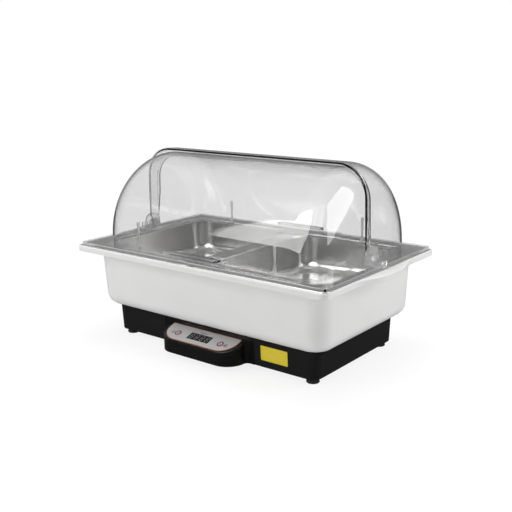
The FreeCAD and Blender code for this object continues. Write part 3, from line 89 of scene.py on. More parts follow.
class Signal:
    # an output socket that takes part in sums and products

    def __init__(self, finish, socket):
        self.finish = finish
        self.socket = socket

    def maths(self, operation, first, second):
        return self.finish.node("Math", {"operation": operation}, {0: first, 1: second})

    def __add__(self, other):
        return self.maths("ADD", self, other)

    def __radd__(self, other):
        return self.maths("ADD", other, self)

    def __sub__(self, other):
        return self.maths("SUBTRACT", self, other)

    def __rsub__(self, other):
        return self.maths("SUBTRACT", other, self)

    def __mul__(self, other):
        return self.maths("MULTIPLY", self, other)

    def __rmul__(self, other):
        return self.maths("MULTIPLY", other, self)

    def __pow__(self, other):
        return self.maths("POWER", self, other)

    def __gt__(self, other):
        return self.maths("GREATER_THAN", self, other)


class Finish:
    # one material, or the world, with a short way to add nodes

    def __init__(self, owner):
        self.owner = owner
        self.tree = owner.node_tree
        self.tree.nodes.clear()

    def node(self, kind, settings=None, sockets=None, output=0):
        made = self.tree.nodes.new("ShaderNode" + kind)
        for name, value in (settings or {}).items():
            if name == "stops":
                self.fillRamp(made.color_ramp, value)
            else:
                setattr(made, name, value)
        for key, value in (sockets or {}).items():
            if isinstance(value, Signal):
                self.tree.links.new(value.socket, made.inputs[key])
            else:
                made.inputs[key].default_value = value
        return Signal(self, made.outputs[output])

    def fillRamp(self, ramp, stops):
        while len(ramp.elements) < len(stops):
            ramp.elements.new(0.5)
        for element, (position, colour) in zip(ramp.elements, stops):
            element.position = position
            element.color = colour

    def blend(self, factor, first, second):
        return self.node(
            "Mix", {"data_type": "RGBA"}, {0: factor, 6: first, 7: second}, output=2
        )

    def position(self):
        return self.node("TexCoord", output="Object")

    def stretched(self, scale):
        return self.node(
            "Mapping", {"vector_type": "POINT"}, {"Vector": self.position(), "Scale": scale}
        )

    def noise(self, scale, detail=2.0, stretch=(1.0, 1.0, 1.0)):
        return self.node(
            "TexNoise",
            sockets={"Vector": self.stretched(stretch), "Scale": scale, "Detail": detail},
            output="Fac",
        )

    def bump(self, height, strength, distance):
        return self.node(
            "Bump", sockets={"Height": height, "Strength": strength, "Distance": distance}
        )

    def surface(self, shader):
        out = self.tree.nodes.new("ShaderNodeOutput" + ("World" if self.isWorld() else "Material"))
        self.tree.links.new(shader.socket, out.inputs["Surface"])
        return self.owner

    def isWorld(self):
        return isinstance(self.owner, bpy.types.World)

    def principled(self, **sockets):
        named = {key.replace("_", " "): value for key, value in sockets.items()}
        return self.surface(self.node("BsdfPrincipled", sockets=named))


def newFinish(name):
    material = bpy.data.materials.new(name)
    material.use_nodes = True
    return Finish(material)


def grey(level):
    return (level, level, level, 1.0)


# Finishes

def whitePlastic():
    f = newFinish("whitePlastic")
    mottle = f.noise(26.0, 3.0)
    grain = f.noise(2600.0, 1.0)
    return f.principled(
        Base_Color=f.blend(mottle, (0.80, 0.80, 0.795, 1), (0.845, 0.845, 0.84, 1)),
        Roughness=0.30 + 0.12 * mottle,
        Normal=f.bump(grain, 0.05, 0.00005),
        Coat_Weight=0.15,
        Coat_Roughness=0.25,
    )


def blackPlastic():
    f = newFinish("blackPlastic")
    grain = f.noise(1500.0, 2.0)
    cloud = f.noise(40.0, 3.0)
    return f.principled(
        Base_Color=f.blend(cloud, grey(0.006), grey(0.010)),
        Roughness=0.50 + 0.12 * cloud,
        Specular_IOR_Level=0.20,
        Normal=f.bump(grain, 0.12, 0.00006),
    )


def glossBlack(name, rough, shine):
    f = newFinish(name)
    cloud = f.noise(60.0, 3.0)
    return f.principled(
        Base_Color=f.blend(cloud, grey(0.005), grey(0.009)),
        Roughness=rough + 0.10 * cloud,
        Specular_IOR_Level=shine,
    )


def brushedSteel():
    f = newFinish("brushedSteel")
    cloud = f.noise(14.0, 2.0)
    fine = f.noise(140.0, 3.0)
    return f.principled(
        Base_Color=f.blend(cloud, (0.63, 0.627, 0.62, 1), (0.71, 0.707, 0.70, 1)),
        Metallic=0.9,
        Roughness=0.23 + 0.03 * cloud + 0.015 * fine,
        Normal=f.bump(cloud, 0.15, 0.0004),
    )


clearShade = 0.94                               # share of the lamps' light that a clear wall lets through


def clearPlastic(name, sizes):
    # seen along its surface it is darker, and lamps pass straight through so that the pans stay lit
    f = newFinish(name)
    scuff = f.noise(90.0, 4.0)

    def glass(tint):
        return f.node(
            "BsdfPrincipled",
            sockets={
                "Base Color": grey(tint),
                "Roughness": sizes["rough"] + 0.02 * scuff,
                "IOR": sizes.get("ior", 1.49),
                "Transmission Weight": sizes.get("clear", 1.0),
            },
        )

    slant = f.node("LayerWeight", sockets={"Blend": 0.5}, output="Facing")
    rim = sizes["rimShare"] * slant ** sizes["rimFall"]
    wall = f.node("MixShader", sockets={0: rim, 1: glass(sizes["tint"]), 2: glass(sizes["rimTint"])})
    clear = f.node("BsdfTransparent", sockets={"Color": grey(clearShade)})
    lampRay = f.node("LightPath", output="Is Shadow Ray")
    softRay = f.node("LightPath", output="Is Diffuse Ray")
    free = f.node("Math", {"operation": "MAXIMUM"}, {0: lampRay, 1: softRay})
    return f.surface(f.node("MixShader", sockets={0: free, 1: wall, 2: clear}))


clearSets = {                                   # rimShare and rimFall: how much and how fast a rim darkens
    "cover": {"tint": 0.905, "rimTint": 0.74, "rimShare": 0.9, "rimFall": 5.0, "rough": 0.01},
    "frame": {"tint": 0.96, "rimTint": 0.80, "rimShare": 0.6, "rimFall": 5.0, "rough": 0.01},
    # the bead is a whiter, partly cloudy copy of the same clear plastic: a painted highlight along the
    # frame's outer edge, put in place of its dark inner reflections
    "bead": {
        "tint": 0.97, "rimTint": 0.85, "rimShare": 0.5, "rimFall": 4.0, "rough": 0.12,
        "clear": 0.7, "ior": 1.15,
    },
    "post": {"tint": 0.95, "rimTint": 0.10, "rimShare": 1.0, "rimFall": 2.2, "rough": 0.02, "clear": 0.5},
    "hinge": {"tint": 0.98, "rimTint": 0.72, "rimShare": 0.8, "rimFall": 3.0, "rough": 0.01, "clear": 0.86},
}


def silverFilm():
    f = newFinish("silverFilm")
    brush = f.noise(1100.0, 2.0, (0.02, 1.0, 1.0))
    return f.principled(
        Base_Color=f.blend(brush, (0.56, 0.555, 0.555, 1), (0.66, 0.655, 0.655, 1)),
        Metallic=0.2,
        Roughness=0.38 + 0.12 * brush,
        Normal=f.bump(brush, 0.05, 0.00004),
    )


def plainCoat(name, dark, light, rough, metal=0.0, scale=300.0, height=0.1):
    # a finish with a little mottle in its colour, gloss and surface
    f = newFinish(name)
    mottle = f.noise(scale, 3.0)
    return f.principled(
        Base_Color=f.blend(mottle, (*dark, 1), (*light, 1)),
        Metallic=metal,
        Roughness=rough + 0.1 * mottle,
        Normal=f.bump(mottle, height, 0.0001),
    )


finishes = {
    "black_plastic": blackPlastic(),
    "black_sheet": plainCoat("blackSheet", (0.015, 0.015, 0.016), (0.028, 0.028, 0.03), 0.5),
    "foot_rubber": plainCoat("footRubber", (0.010, 0.010, 0.010), (0.02, 0.02, 0.02), 0.78, height=0.4),
    "zinc_steel": plainCoat("zincSteel", (0.5, 0.5, 0.48), (0.7, 0.7, 0.66), 0.3, 1.0),
    "cast_aluminium": plainCoat("castAluminium", (0.42, 0.42, 0.43), (0.6, 0.6, 0.61), 0.42, 1.0, 500, 0.5),
    "element_sheath": plainCoat("elementSheath", (0.10, 0.09, 0.085), (0.2, 0.17, 0.15), 0.45, 0.8),
    "folded_sheet": plainCoat("foldedSheet", (0.55, 0.55, 0.55), (0.72, 0.72, 0.72), 0.25, 1.0),
    "mineral_fibre": plainCoat("mineralFibre", (0.42, 0.37, 0.27), (0.62, 0.57, 0.45), 0.9, 0.0, 900, 1.0),
    "inlet_plastic": plainCoat("inletPlastic", (0.02, 0.02, 0.02), (0.035, 0.035, 0.035), 0.4),
    "gloss_black": glossBlack("glossBlack", 0.16, 0.35),
    "silver_film": silverFilm(),
    "copper_line": plainCoat("copperLine", (0.42, 0.12, 0.06), (0.58, 0.2, 0.1), 0.3, 0.4),
    "dark_lens": glossBlack("darkLens", 0.10, 0.12),
    "board_laminate": plainCoat("boardLaminate", (0.01, 0.09, 0.04), (0.02, 0.15, 0.07), 0.45),
    "relay_case": plainCoat("relayCase", (0.01, 0.05, 0.2), (0.02, 0.08, 0.3), 0.35),
    "button_cap": plainCoat("buttonCap", (0.62, 0.62, 0.62), (0.72, 0.72, 0.72), 0.4),
    "white_plastic": whitePlastic(),
    "pan_steel": brushedSteel(),
    "clear_plastic": clearPlastic("clearPlastic", clearSets["cover"]),
}
ownFinishes = {                                 # nodes and pieces that differ from the rest of their slot
    kind: clearPlastic(kind + "Plastic", clearSets[kind]) for kind in ("bead", "frame", "post", "hinge")
}
print("finishes made:", len(finishes))


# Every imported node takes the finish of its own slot, with smooth faces between its real edges

def smoothFaces(piece, angle=28.0):
    mesh = piece.data
    mesh.shade_smooth()
    mesh.set_sharp_from_angle(angle=math.radians(angle))
    weighted = piece.modifiers.new("evenShading", "WEIGHTED_NORMAL")
    weighted.keep_sharp = True


def dressNodes():
    for part in frame["record"]["subparts"]:
        piece = frame["nodes"][part["node"]]
        piece.data.materials.clear()
        kind = part["node"].rsplit("_", 1)[-1]
        own = {"post": "post", "bracket": "hinge", "pin": "hinge"}.get(kind)
        piece.data.materials.append(ownFinishes[own] if own else finishes[part["material_slot"]])
        smoothFaces(piece)


dressNodes()
print("packed nodes dressed")


# Shape helpers

def softPath(corners, steps=8):
    # closed outline through the corners, each (x, y, radius) rounded by an arc
    path = []
    for index, (x, y, radius) in enumerate(corners):
        here = Vector((x, y))
        before = Vector(corners[index - 1][:2]) - here
        after = Vector(corners[(index + 1) % len(corners)][:2]) - here
        if radius < 0.001:
            path.append((x, y))
            continue
        half = before.angle(after) / 2
        cut = radius / math.tan(half)
        middle = here + (before.normalized() + after.normalized()).normalized() * radius / math.sin(half)
        start = here + before.normalized() * cut - middle
        end = here + after.normalized() * cut - middle
        turn = start.angle_signed(end)
        for step in range(steps + 1):
            spoke = start.copy()
            spoke.rotate(Matrix.Rotation(-turn * step / steps, 2))
            path.append(tuple(middle + spoke))
    return path


def boxPath(halfX, halfY, corner, steps=8, x=0.0, y=0.0):
    signs = ((1, -1), (1, 1), (-1, 1), (-1, -1))
    return softPath([(x + halfX * sx, y + halfY * sy, corner) for sx, sy in signs], steps)


def tidyMesh(mesh):
    work = bmesh.new()
    work.from_mesh(mesh)
    bmesh.ops.remove_doubles(work, verts=work.verts, dist=0.002 * mm)
    bmesh.ops.recalc_face_normals(work, faces=work.faces)
    work.to_mesh(mesh)
    work.free()
    mesh.update()


def addPiece(name, points, faces, slot, body, *replaced, angle=28.0, finish=None):
    mesh = bpy.data.meshes.new(name)
    mesh.from_pydata([Vector(point) * mm for point in points], [], faces)
    tidyMesh(mesh)
    piece = bpy.data.objects.new(name, mesh)
    bpy.context.collection.objects.link(piece)
    mesh.materials.append(finish or finishes[slot])
    smoothFaces(piece, angle)
    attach(piece, body)
    if replaced:
        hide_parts(*replaced)
    return piece


def skinRings(rings, capFirst=True, capLast=True):
    # points and faces of a skin through rings that have the same number of points
    count = len(rings[0])
    points = [point for ring in rings for point in ring]
    faces = []
    for level in range(len(rings) - 1):
        low, high = level * count, (level + 1) * count
        for step in range(count):
            after = (step + 1) % count
            faces.append((low + step, low + after, high + after, high + step))
    if capFirst:
        faces.append(tuple(reversed(range(count))))
    if capLast:
        faces.append(tuple(range((len(rings) - 1) * count, len(rings) * count)))
    return points, faces


def nodeBox(node):
    low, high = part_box(node)
    return Vector(low) / mm, Vector(high) / mm


def roundStations(stations, steps=5):
    # a section drawn as (numbers, radius) stations; each corner becomes an arc, weighted so that it is round.
    # numbers[1] and numbers[3] are the half width and the height, in whose plane the arc lies
    path = []
    for index, (place, radius) in enumerate(stations):
        here = Vector(place)
        if radius == 0 or index in (0, len(stations) - 1):
            path.append(tuple(here))
            continue
        before = Vector(stations[index - 1][0]) - here
        after = Vector(stations[index + 1][0]) - here
        flatBefore = Vector((before[1], before[3]))
        flatAfter = Vector((after[1], after[3]))
        half = flatBefore.angle(flatAfter) / 2
        cut = radius / math.tan(half)
        start = here + before * min(cut / flatBefore.length, 0.5)
        end = here + after * min(cut / flatAfter.length, 0.5)
        weight = math.sin(half)
        for step in range(steps + 1):
            t = step / steps
            a, b, c = (1 - t) ** 2, 2 * t * (1 - t) * weight, t ** 2
            path.append(tuple((start * a + here * b + end * c) / (a + b + c)))
    return path


print("helpers ready")


# Water tray

traySet = {
    "length": 485.0, "width": 279.0, "corner": 33.0,   # outside of the foot
    "flare": 4.6, "wall": 2.5, "edge": 22.0,
    "flangeLength": 536.0, "flangeWidth": 336.0, "flangeCorner": 12.0,
    "flangeHeight": 10.0, "lipRound": 2.0, "lipEdge": 1.0, "lipInside": 0.8,
    "rebateDepth": 4.0, "rebateLength": 532.0, "rebateWidth": 327.0, "rebateCorner": 4.0,
    "rebateRound": 0.7, "ledgeRound": 2.0, "underRound": 2.5,
    "floorInset": 30.0, "footInset": 40.0, "flatCorner": 6.0,
    "bulge": 17.0, "gripLength": 150.0, "gripFlat": 62.0, "gripBlend": 48.0, "gripMargin": 12.0,
}


def gripReach(y, sizes):
    # how far the crescent grip stands out from the straight edge at y
    reach, flat = sizes["gripLength"] / 2, sizes["gripFlat"] / 2
    bulge, bend = sizes["bulge"], sizes["gripBlend"]
    slope = math.atan2(bulge, reach - flat)
    cut = bend * math.tan(slope / 2)
    away = abs(y)
    if away >= reach + cut:
        return 0.0
    if away > reach - cut * math.cos(slope):
        return bend - math.sqrt(bend ** 2 - (reach + cut - away) ** 2)
    if away > flat + cut * math.cos(slope):
        return (reach - away) * math.tan(slope)
    if away > flat - cut:
        return bulge - bend + math.sqrt(bend ** 2 - (away - flat + cut) ** 2)
    return bulge


def trayRing(station, sizes, steps=10, gripSteps=28):
    halfX, halfY, corner, z, grip = station
    span = sizes["gripLength"] / 2 + sizes["gripMargin"]
    quarter = boxPath(halfX, halfY, corner, steps)
    ends = [span * (2 * step / gripSteps - 1) for step in range(gripSteps + 1)]
    side = [(halfX + gripReach(y, sizes) * grip, y) for y in ends]
    count = steps + 1
    plan = quarter[:count] + side + quarter[count:count * 3]
    plan += [(-x, -y) for x, y in side] + quarter[count * 3:]
    return [(x, y, z) for x, y in plan]


def makeTray(sizes):
    low, high = nodeBox("water_tray")
    wall = sizes["wall"]
    halfX, halfY = sizes["length"] / 2, sizes["width"] / 2
    topX, topY = halfX + sizes["flare"], halfY + sizes["flare"]
    corner = sizes["corner"]
    ledge = high.z - sizes["rebateDepth"]
    under = ledge - wall
    lip = high.z - sizes["flangeHeight"]
    rebateX, rebateY = sizes["rebateLength"] / 2, sizes["rebateWidth"] / 2
    outX, outY = sizes["flangeLength"] / 2, sizes["flangeWidth"] / 2
    outCorner = sizes["flangeCorner"]
    flat, inset, footInset = sizes["flatCorner"], sizes["floorInset"], sizes["footInset"]
    rebate, rebateRound = sizes["rebateCorner"], sizes["rebateRound"]
    ledgeRound = sizes["ledgeRound"]
    section = [
        ((halfX - wall - inset, halfY - wall - inset, flat, low.z + wall, 0.0), 0),
        ((halfX - wall, halfY - wall, corner - wall, low.z + wall, 0.0), sizes["edge"] - wall),
        ((topX - wall, topY - wall, corner, ledge, 0.0), ledgeRound),
        ((rebateX, rebateY, rebate, ledge, 0.0), rebateRound),
        ((rebateX, rebateY, rebate, high.z, 0.0), rebateRound),
        ((outX, outY, outCorner, high.z, 1.0), sizes["lipRound"]),
        ((outX, outY, outCorner, lip, 1.0), sizes["lipEdge"]),
        ((outX - wall, outY - wall, outCorner - wall, lip, 1.0), sizes["lipInside"]),
        ((outX - wall, outY - wall, outCorner - wall, under, 1.0), ledgeRound),
        ((topX, topY, corner + wall, under, 0.0), sizes["underRound"]),
        ((halfX, halfY, corner, low.z, 0.0), sizes["edge"]),
        ((halfX - footInset, halfY - footInset, flat, low.z, 0.0), 0),
    ]
    rings = [trayRing(station, sizes) for station in roundStations(section, 6)]
    points, faces = skinRings(rings)
    addPiece("trayShell", points, faces, "white_plastic", "tray", "water_tray")


makeTray(traySet)
print("tray made")


# Food pans

panSet = {
    "rimOuter": 21.0, "rimMiddle": 13.0, "rimSide": 21.5,
    "rimCorner": 12.0, "rimRound": 1.4, "rimInside": 0.6, "wall": 1.0, "drop": 3.6,
    "depth": 65.0, "draft": 6.0, "wellCorner": 40.0, "leastCorner": 3.0, "edge": 18.0, "lip": 4.0,
    "floorInset": 34.0,
}


def panRing(station):
    halfX, halfY, corner, z, x = station
    return [(px, py, z) for px, py in boxPath(halfX, halfY, corner, 10, x)]


def makePan(name, node, body, side, sizes):
    low, high = nodeBox(node)
    wall = sizes["wall"]
    middle = (low.x + high.x) / 2
    rimX, rimY = (high.x - low.x) / 2, (high.y - low.y) / 2
    inner = min(abs(low.x), abs(high.x)) + sizes["rimMiddle"]
    outer = max(abs(low.x), abs(high.x)) - sizes["rimOuter"]
    wellX = (outer - inner) / 2
    wellY = rimY - sizes["rimSide"]
    shift = (outer + inner) / 2 * side
    top = high.z
    floor = top - sizes["depth"]
    draft, corner = sizes["draft"], sizes["wellCorner"]
    rimCorner, inset = sizes["rimCorner"], sizes["floorInset"]

    def well(grow, z, radius):
        return ((wellX + grow, wellY + grow, max(corner + grow, sizes["leastCorner"]), z, shift), radius)

    section = [
        ((rimX - wall, rimY - wall, rimCorner - wall, top - wall - sizes["drop"], middle), 0),
        ((rimX, rimY, rimCorner, top - wall - sizes["drop"], middle), 0),
        ((rimX, rimY, rimCorner, top, middle), sizes["rimRound"]),
        well(0, top, sizes["lip"]),
        well(-draft - wall, floor + wall, sizes["edge"] - wall),
        well(-draft - wall - inset, floor + wall, 0),
    ]
    outside = [
        well(-draft - inset, floor, 0),
        well(-draft, floor, sizes["edge"]),
        well(wall, top - wall, sizes["lip"]),
        ((rimX - wall, rimY - wall, rimCorner - wall, top - wall, middle), sizes["rimInside"]),
        ((rimX - wall, rimY - wall, rimCorner - wall, top - wall - sizes["drop"], middle), 0),
    ]
    hollow = roundStations(section, 6)
    rings = [panRing(station) for station in hollow + roundStations(outside, 4)]
    inside = len(hollow)
    count = len(rings[0])
    points, faces = skinRings(rings, False, False)
    gap = range((inside - 1) * count, inside * count)
    faces = [face for face in faces if not (face[0] in gap and face[3] not in gap)]
    faces.append(tuple(gap))
    faces.append(tuple(reversed(range(inside * count, (inside + 1) * count))))
    addPiece(name, points, faces, "pan_steel", body, node)


for side, word in ((-1, "left"), (1, "right")):
    makePan(word + "PanShell", word + "_food_pan", word + "_pan", side, panSet)
print("pans made")


# Clear lid frame with its bead and rest studs

frameSet = {
    "length": 529.0, "width": 324.0, "corner": 12.0,
    "bandEnds": 39.5, "bandSides": 39.5, "thickness": 2.8,
    "bead": 2.0, "beadHeight": 1.6, "round": 0.7, "fineRound": 0.3, "beadFoot": 0.4,
    "stepIn": 7.0, "stepDrop": 0.5,
    "studRadius": 3.0, "studHeight": 3.0, "studRound": 1.1, "studTip": 0.2, "studX": 174.0, "studY": 131.0,
}


def makeFrame(sizes):
    low = nodeBox("lid_frame")[0].z
    top = low + sizes["thickness"]
    crest = top + sizes["beadHeight"]
    outX, outY = sizes["length"] / 2, sizes["width"] / 2
    bead, corner, soft = sizes["bead"], sizes["corner"], sizes["round"]
    inX, inY = outX - sizes["bandEnds"], outY - sizes["bandSides"]
    stepX, stepY = outX - bead - sizes["stepIn"], outY - bead - sizes["stepIn"]
    drop, fine = sizes["stepDrop"], sizes["fineRound"]
    section = [
        ((inX, inY, corner, low, 0.0), 0),
        ((inX, inY, corner, top - drop, 0.0), soft),
        ((stepX, stepY, corner - 1, top - drop, 0.0), fine),
        ((stepX + drop, stepY + drop, corner - 1, top, 0.0), fine),
        ((outX - bead, outY - bead, corner - bead, top, 0.0), sizes["beadFoot"]),
        ((outX - bead, outY - bead, corner - bead, crest, 0.0), soft),
        ((outX, outY, corner, crest, 0.0), soft),
        ((outX, outY, corner, low, 0.0), fine),
        ((inX, inY, corner, low, 0.0), 0),
    ]
    rings = [panRing(station) for station in roundStations(section, 4)]
    points, faces = skinRings(rings, False, False)
    studTop, tip, radius = top + sizes["studHeight"], sizes["studTip"], sizes["studRadius"]
    for sx in (-1, 1):
        for sy in (-1, 1):
            x, y = sizes["studX"] * sx, sizes["studY"] * sy
            outline = [
                ((radius, radius, 0.0, top - drop, 0.0), 0),
                ((radius, radius, 0.0, studTop, 0.0), sizes["studRound"]),
                ((tip, tip, 0.0, studTop, 0.0), 0),
            ]
            turned = [turnRing(x, y, place[1], place[3]) for place in roundStations(outline, 5)]
            more, quads = skinRings(turned)
            offset = len(points)
            points += more
            faces += [tuple(index + offset for index in quad) for quad in quads]
    piece = addPiece(
        "lidFrameRing", points, faces, "clear_plastic", "lid_frame", "lid_frame",
        angle=35, finish=ownFinishes["frame"],
    )
    # the faces round the outer bead take the whiter copy of the clear plastic: a painted highlight line
    piece.data.materials.append(ownFinishes["bead"])
    edgeX, edgeY = (outX - bead - fine) * mm, (outY - bead - fine) * mm
    for face in piece.data.polygons:
        corners = [piece.data.vertices[index].co for index in face.vertices]
        atEdge = all(abs(at.x) > edgeX or abs(at.y) > edgeY for at in corners)
        face.material_index = 1 if atEdge else 0


def turnRing(x, y, radius, z, steps=28):
    turns = [2 * math.pi * step / steps for step in range(steps)]
    return [(x + radius * math.cos(turn), y + radius * math.sin(turn), z) for turn in turns]


makeFrame(frameSet)
print("lid frame made")


# Roll-top covers: half a barrel turned about the hinge line and trimmed

coverSet = {
    "front": {"radius": 140.5, "length": 469.0, "lip": -5.0},
    "back": {"radius": 147.5, "length": 478.0, "lip": 1.3},
    "draft": 3.0, "round": 52.0, "wall": 2.5,
    "seam": 9.0, "rib": 2.5, "bore": 4.05,
    "bottom": 10.1, "edge": 0.5,
    "tabLength": 100.0, "tabReach": 15.0, "tabThick": 2.6, "tabCurl": 5.0, "tabCorner": 9.0,
    "tabSpread": 2.0, "tabLip": 2.5, "tabLipWall": 1.8, "tabShoulder": 1.2, "tabSink": 1.6,
    "tabRound": 1.3, "tabLipRound": 0.5, "tabInside": 0.8, "spreadShare": 0.8,
    "hubRadius": 9.8, "hubThick": 1.6, "hubEdge": 0.5,
    "lipStart": 4.0, "lipLeast": 0.2, "lipRun": 60.0,       # the seam's lip grows over this height
}


def coverProfile(half, radius, sizes, steps=18, side=28):
    # (x, distance from the hinge line) from the bore of one end to the bore of the other
    top = half - sizes["draft"]
    bore, bend = sizes["bore"], sizes["round"]
    corners = [(half, bore, 0.0), (top, radius, bend), (-top, radius, bend), (-half, bore, 0.0)]
    before = softPath(corners, steps)
    path = [before[0]]
    for first, second in zip(before, before[1:]):
        gap = (Vector(second) - Vector(first)).length
        parts = max(1, round(gap / side)) if gap > side * 1.5 else 1
        for part in range(1, parts + 1):
            path.append(tuple(Vector(first).lerp(Vector(second), part / parts)))
    return path


def makeCover(which, side, sizes):
    own = sizes[which]
    hinge = hingeHeight()
    outward = own["lip"] > 0
    seam = sizes["seam"] - (sizes["rib"] if outward else 0.0)
    profile = coverProfile(own["length"] / 2, own["radius"], sizes)
    work = bmesh.new()
    turns = 144
    rings = []
    for turn in range(turns):
        angle = 2 * math.pi * turn / turns
        across, up = math.cos(angle), math.sin(angle)
        rings.append([work.verts.new((x, r * across, r * up)) for x, r in profile])
    for first, second in zip(rings, rings[1:] + rings[:1]):
        for step in range(len(profile) - 1):
            work.faces.new((first[step], first[step + 1], second[step + 1], second[step]))
    bottom = sizes["bottom"]
    limit = math.degrees(math.asin(seam / bottom))
    planes = [((0, -side * seam, 0), (0, -side, 0))]
    corners = 6
    for step in range(corners + 1):
        lean = math.radians(limit * step / corners)
        normal = Vector((0, -side * math.sin(lean), -math.cos(lean)))
        planes.append((normal * bottom, normal))
    for place, normal in planes:
        everything = work.verts[:] + work.edges[:] + work.faces[:]
        bmesh.ops.bisect_plane(
            work, geom=everything, dist=1e-5, plane_co=place, plane_no=normal, clear_outer=True
        )
    bmesh.ops.recalc_face_normals(work, faces=work.faces)
    makeLip(work, own, side, seam, sizes)
    for vertex in work.verts:
        vertex.co.z += hinge
        vertex.co *= mm
    name = which + "CoverShell"
    mesh = bpy.data.meshes.new(name)
    work.to_mesh(mesh)
    work.free()
    piece = bpy.data.objects.new(name, mesh)
    bpy.context.collection.objects.link(piece)
    mesh.materials.append(finishes["clear_plastic"])
    shell = piece.modifiers.new("wall", "SOLIDIFY")
    shell.thickness = sizes["wall"] * mm
    shell.offset = -1.0
    shell.use_even_offset = True
    shell.use_quality_normals = True
    softEdge = piece.modifiers.new("softEdge", "BEVEL")
    softEdge.width = sizes["edge"] * mm
    softEdge.segments = 2
    softEdge.limit_method = "ANGLE"
    softEdge.angle_limit = math.radians(50)
    smoothFaces(piece, 30)
    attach(piece, which + "_cover")
    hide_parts(which + "_cover")
    return piece


def makeLip(work, own, side, seam, sizes):
    # the band along the seam: it turns inwards on the front cover and outwards on the back one
    start = sizes["hubRadius"] + sizes["lipStart"]
    edges = [
        edge for edge in work.edges
        if edge.is_boundary
        and all(abs(v.co.y + side * seam) < 1e-3 for v in edge.verts)
        and all(v.co.z > start for v in edge.verts)
    ]
    half, radius = own["length"] / 2, own["radius"]
    depth = own["lip"] if own["lip"] > 0 else own["lip"] - sizes["wall"]
    made = bmesh.ops.extrude_edge_only(work, edges=edges)
    new = [item for item in made["geom"] if isinstance(item, bmesh.types.BMVert)]
    for vertex in new:
        grown = min(1.0, sizes["lipLeast"] + (vertex.co.z - start) / sizes["lipRun"])
        vertex.co += outwardAt(vertex.co, half, radius, sizes) * depth * grown
    bmesh.ops.recalc_face_normals(work, faces=work.faces)
    outermost = max(work.faces, key=lambda face: face.calc_center_median().y * side)
    if outermost.normal.y * side < 0:
        bmesh.ops.reverse_faces(work, faces=work.faces)


def outwardAt(place, half, radius, sizes):
    # direction square to the barrel's section at a point, within the seam's plane
    bend = sizes["round"]
    centreX = half - sizes["draft"] - bend
    reach = math.hypot(place.y, place.z)
    if abs(place.x) <= centreX:
        return Vector((0, 0, 1))
    if reach >= radius - bend:
        sideways = math.copysign(abs(place.x) - centreX, place.x)
        return Vector((sideways, 0, reach - radius + bend)).normalized()
    return Vector((math.copysign(1.0, place.x), 0, 0))


def hingeHeight():
    low, high = nodeBox("left_hinge_pin")
    return (low.z + high.z) / 2


def makeTab(which, side, sizes):
    # finger tab: a thin shelf that leaves the wall in a small round and ends in a turned-down lip
    hinge = hingeHeight()
    radius = sizes[which]["radius"]
    low = hinge - sizes["bottom"] + sizes["tabCurl"]
    high = low + sizes["tabThick"]
    half, corner = sizes["tabLength"] / 2, sizes["tabCorner"]
    sink, shoulder = sizes["tabSink"], sizes["tabShoulder"]
    root, tip = radius - sink, radius + sizes["tabReach"]
    spread, lip, lipWall = sizes["tabSpread"], sizes["tabLip"], sizes["tabLipWall"]
    columns = 24
    places = [half - corner * (1 - math.sin(math.pi / 2 * step / columns)) for step in range(columns + 1)]
    places = [-x for x in reversed(places)] + places
    rings = []
    for x in places:
        over = max(abs(x) - half + corner, 0.0)
        end = tip - corner + math.sqrt(max(corner ** 2 - over ** 2, 0.0))
        section = [
            ((x, root, 0.0, low), 0),
            ((x, root, 0.0, high + spread), 0),
            ((x, root + shoulder, 0.0, high + spread), 0),
            ((x, root + sink, 0.0, high), spread * sizes["spreadShare"]),
            ((x, end, 0.0, high), sizes["tabRound"]),
            ((x, end, 0.0, low - lip), sizes["tabLipRound"]),
            ((x, end - lipWall, 0.0, low - lip), sizes["tabLipRound"]),
            ((x, end - lipWall, 0.0, low), sizes["tabInside"]),
            ((x, root, 0.0, low), 0),
        ]
        rings.append([(x, place[1] * side, place[3]) for place in roundStations(section, 4)])
    points, faces = skinRings(rings)
    addPiece(which + "CoverTab", points, faces, "clear_plastic", which + "_cover", angle=35)


def makeHubs(which, sizes):
    # the thickened discs round the hinge pins, inside the end walls
    hinge = hingeHeight()
    wallIn = sizes[which]["length"] / 2 - sizes["wall"]
    bore, rim, thick, edge = sizes["bore"], sizes["hubRadius"], sizes["hubThick"], sizes["hubEdge"]
    points, faces = [], []
    for side in (-1, 1):
        section = [(bore, 0.0), (rim, 0.0), (rim, thick - edge), (rim - edge, thick), (bore, thick)]
        rings = []
        for radius, depth in section + section[:1]:
            ring = turnRing(0.0, 0.0, radius, 0.0, 48)
            rings.append([((wallIn - depth) * side, y, hinge + z) for y, z, _ in ring])
        more, quads = skinRings(rings, False, False)
        offset = len(points)
        points += more
        faces += [tuple(index + offset for index in quad) for quad in quads]
    addPiece(
        which + "CoverHubs", points, faces, "clear_plastic", which + "_cover",
        angle=35, finish=ownFinishes["hinge"],
    )


for which, side in (("front", -1), ("back", 1)):
    makeCover(which, side, coverSet)
    makeTab(which, side, coverSet)
    makeHubs(which, coverSet)
print("covers made")


# Printed rings, digits and the bare plate on the base

panelSet = {
    "slopeRun": 40.0, "slopeRise": 13.0, "backY": -119.7, "backZ": 47.0,
    "digits": 4, "digitPitch": 11.2, "digitWide": 5.4, "digitHigh": 11.6, "digitLean": 0.14,
    "barWide": 1.15, "barGap": 0.3, "barDeep": 0.3, "fromBack": 21.5, "windowTop": 0.98,
    "button": 47.0, "buttonBack": 23.5, "capRim": 1.7, "capRise": 0.2, "capRadius": 6.2, "filmTop": 1.05,
    "ink": 0.06,
}


def onSlope(x, down, lift, sizes):
    # a place on the control box's slope: down runs forwards from its back edge, lift is square to it
    run, rise = sizes["slopeRun"], sizes["slopeRise"]
    length = math.hypot(run, rise)
    return (
        x,
        sizes["backY"] - (down * run + lift * rise) / length,
        sizes["backZ"] + (lift * run - down * rise) / length,
    )


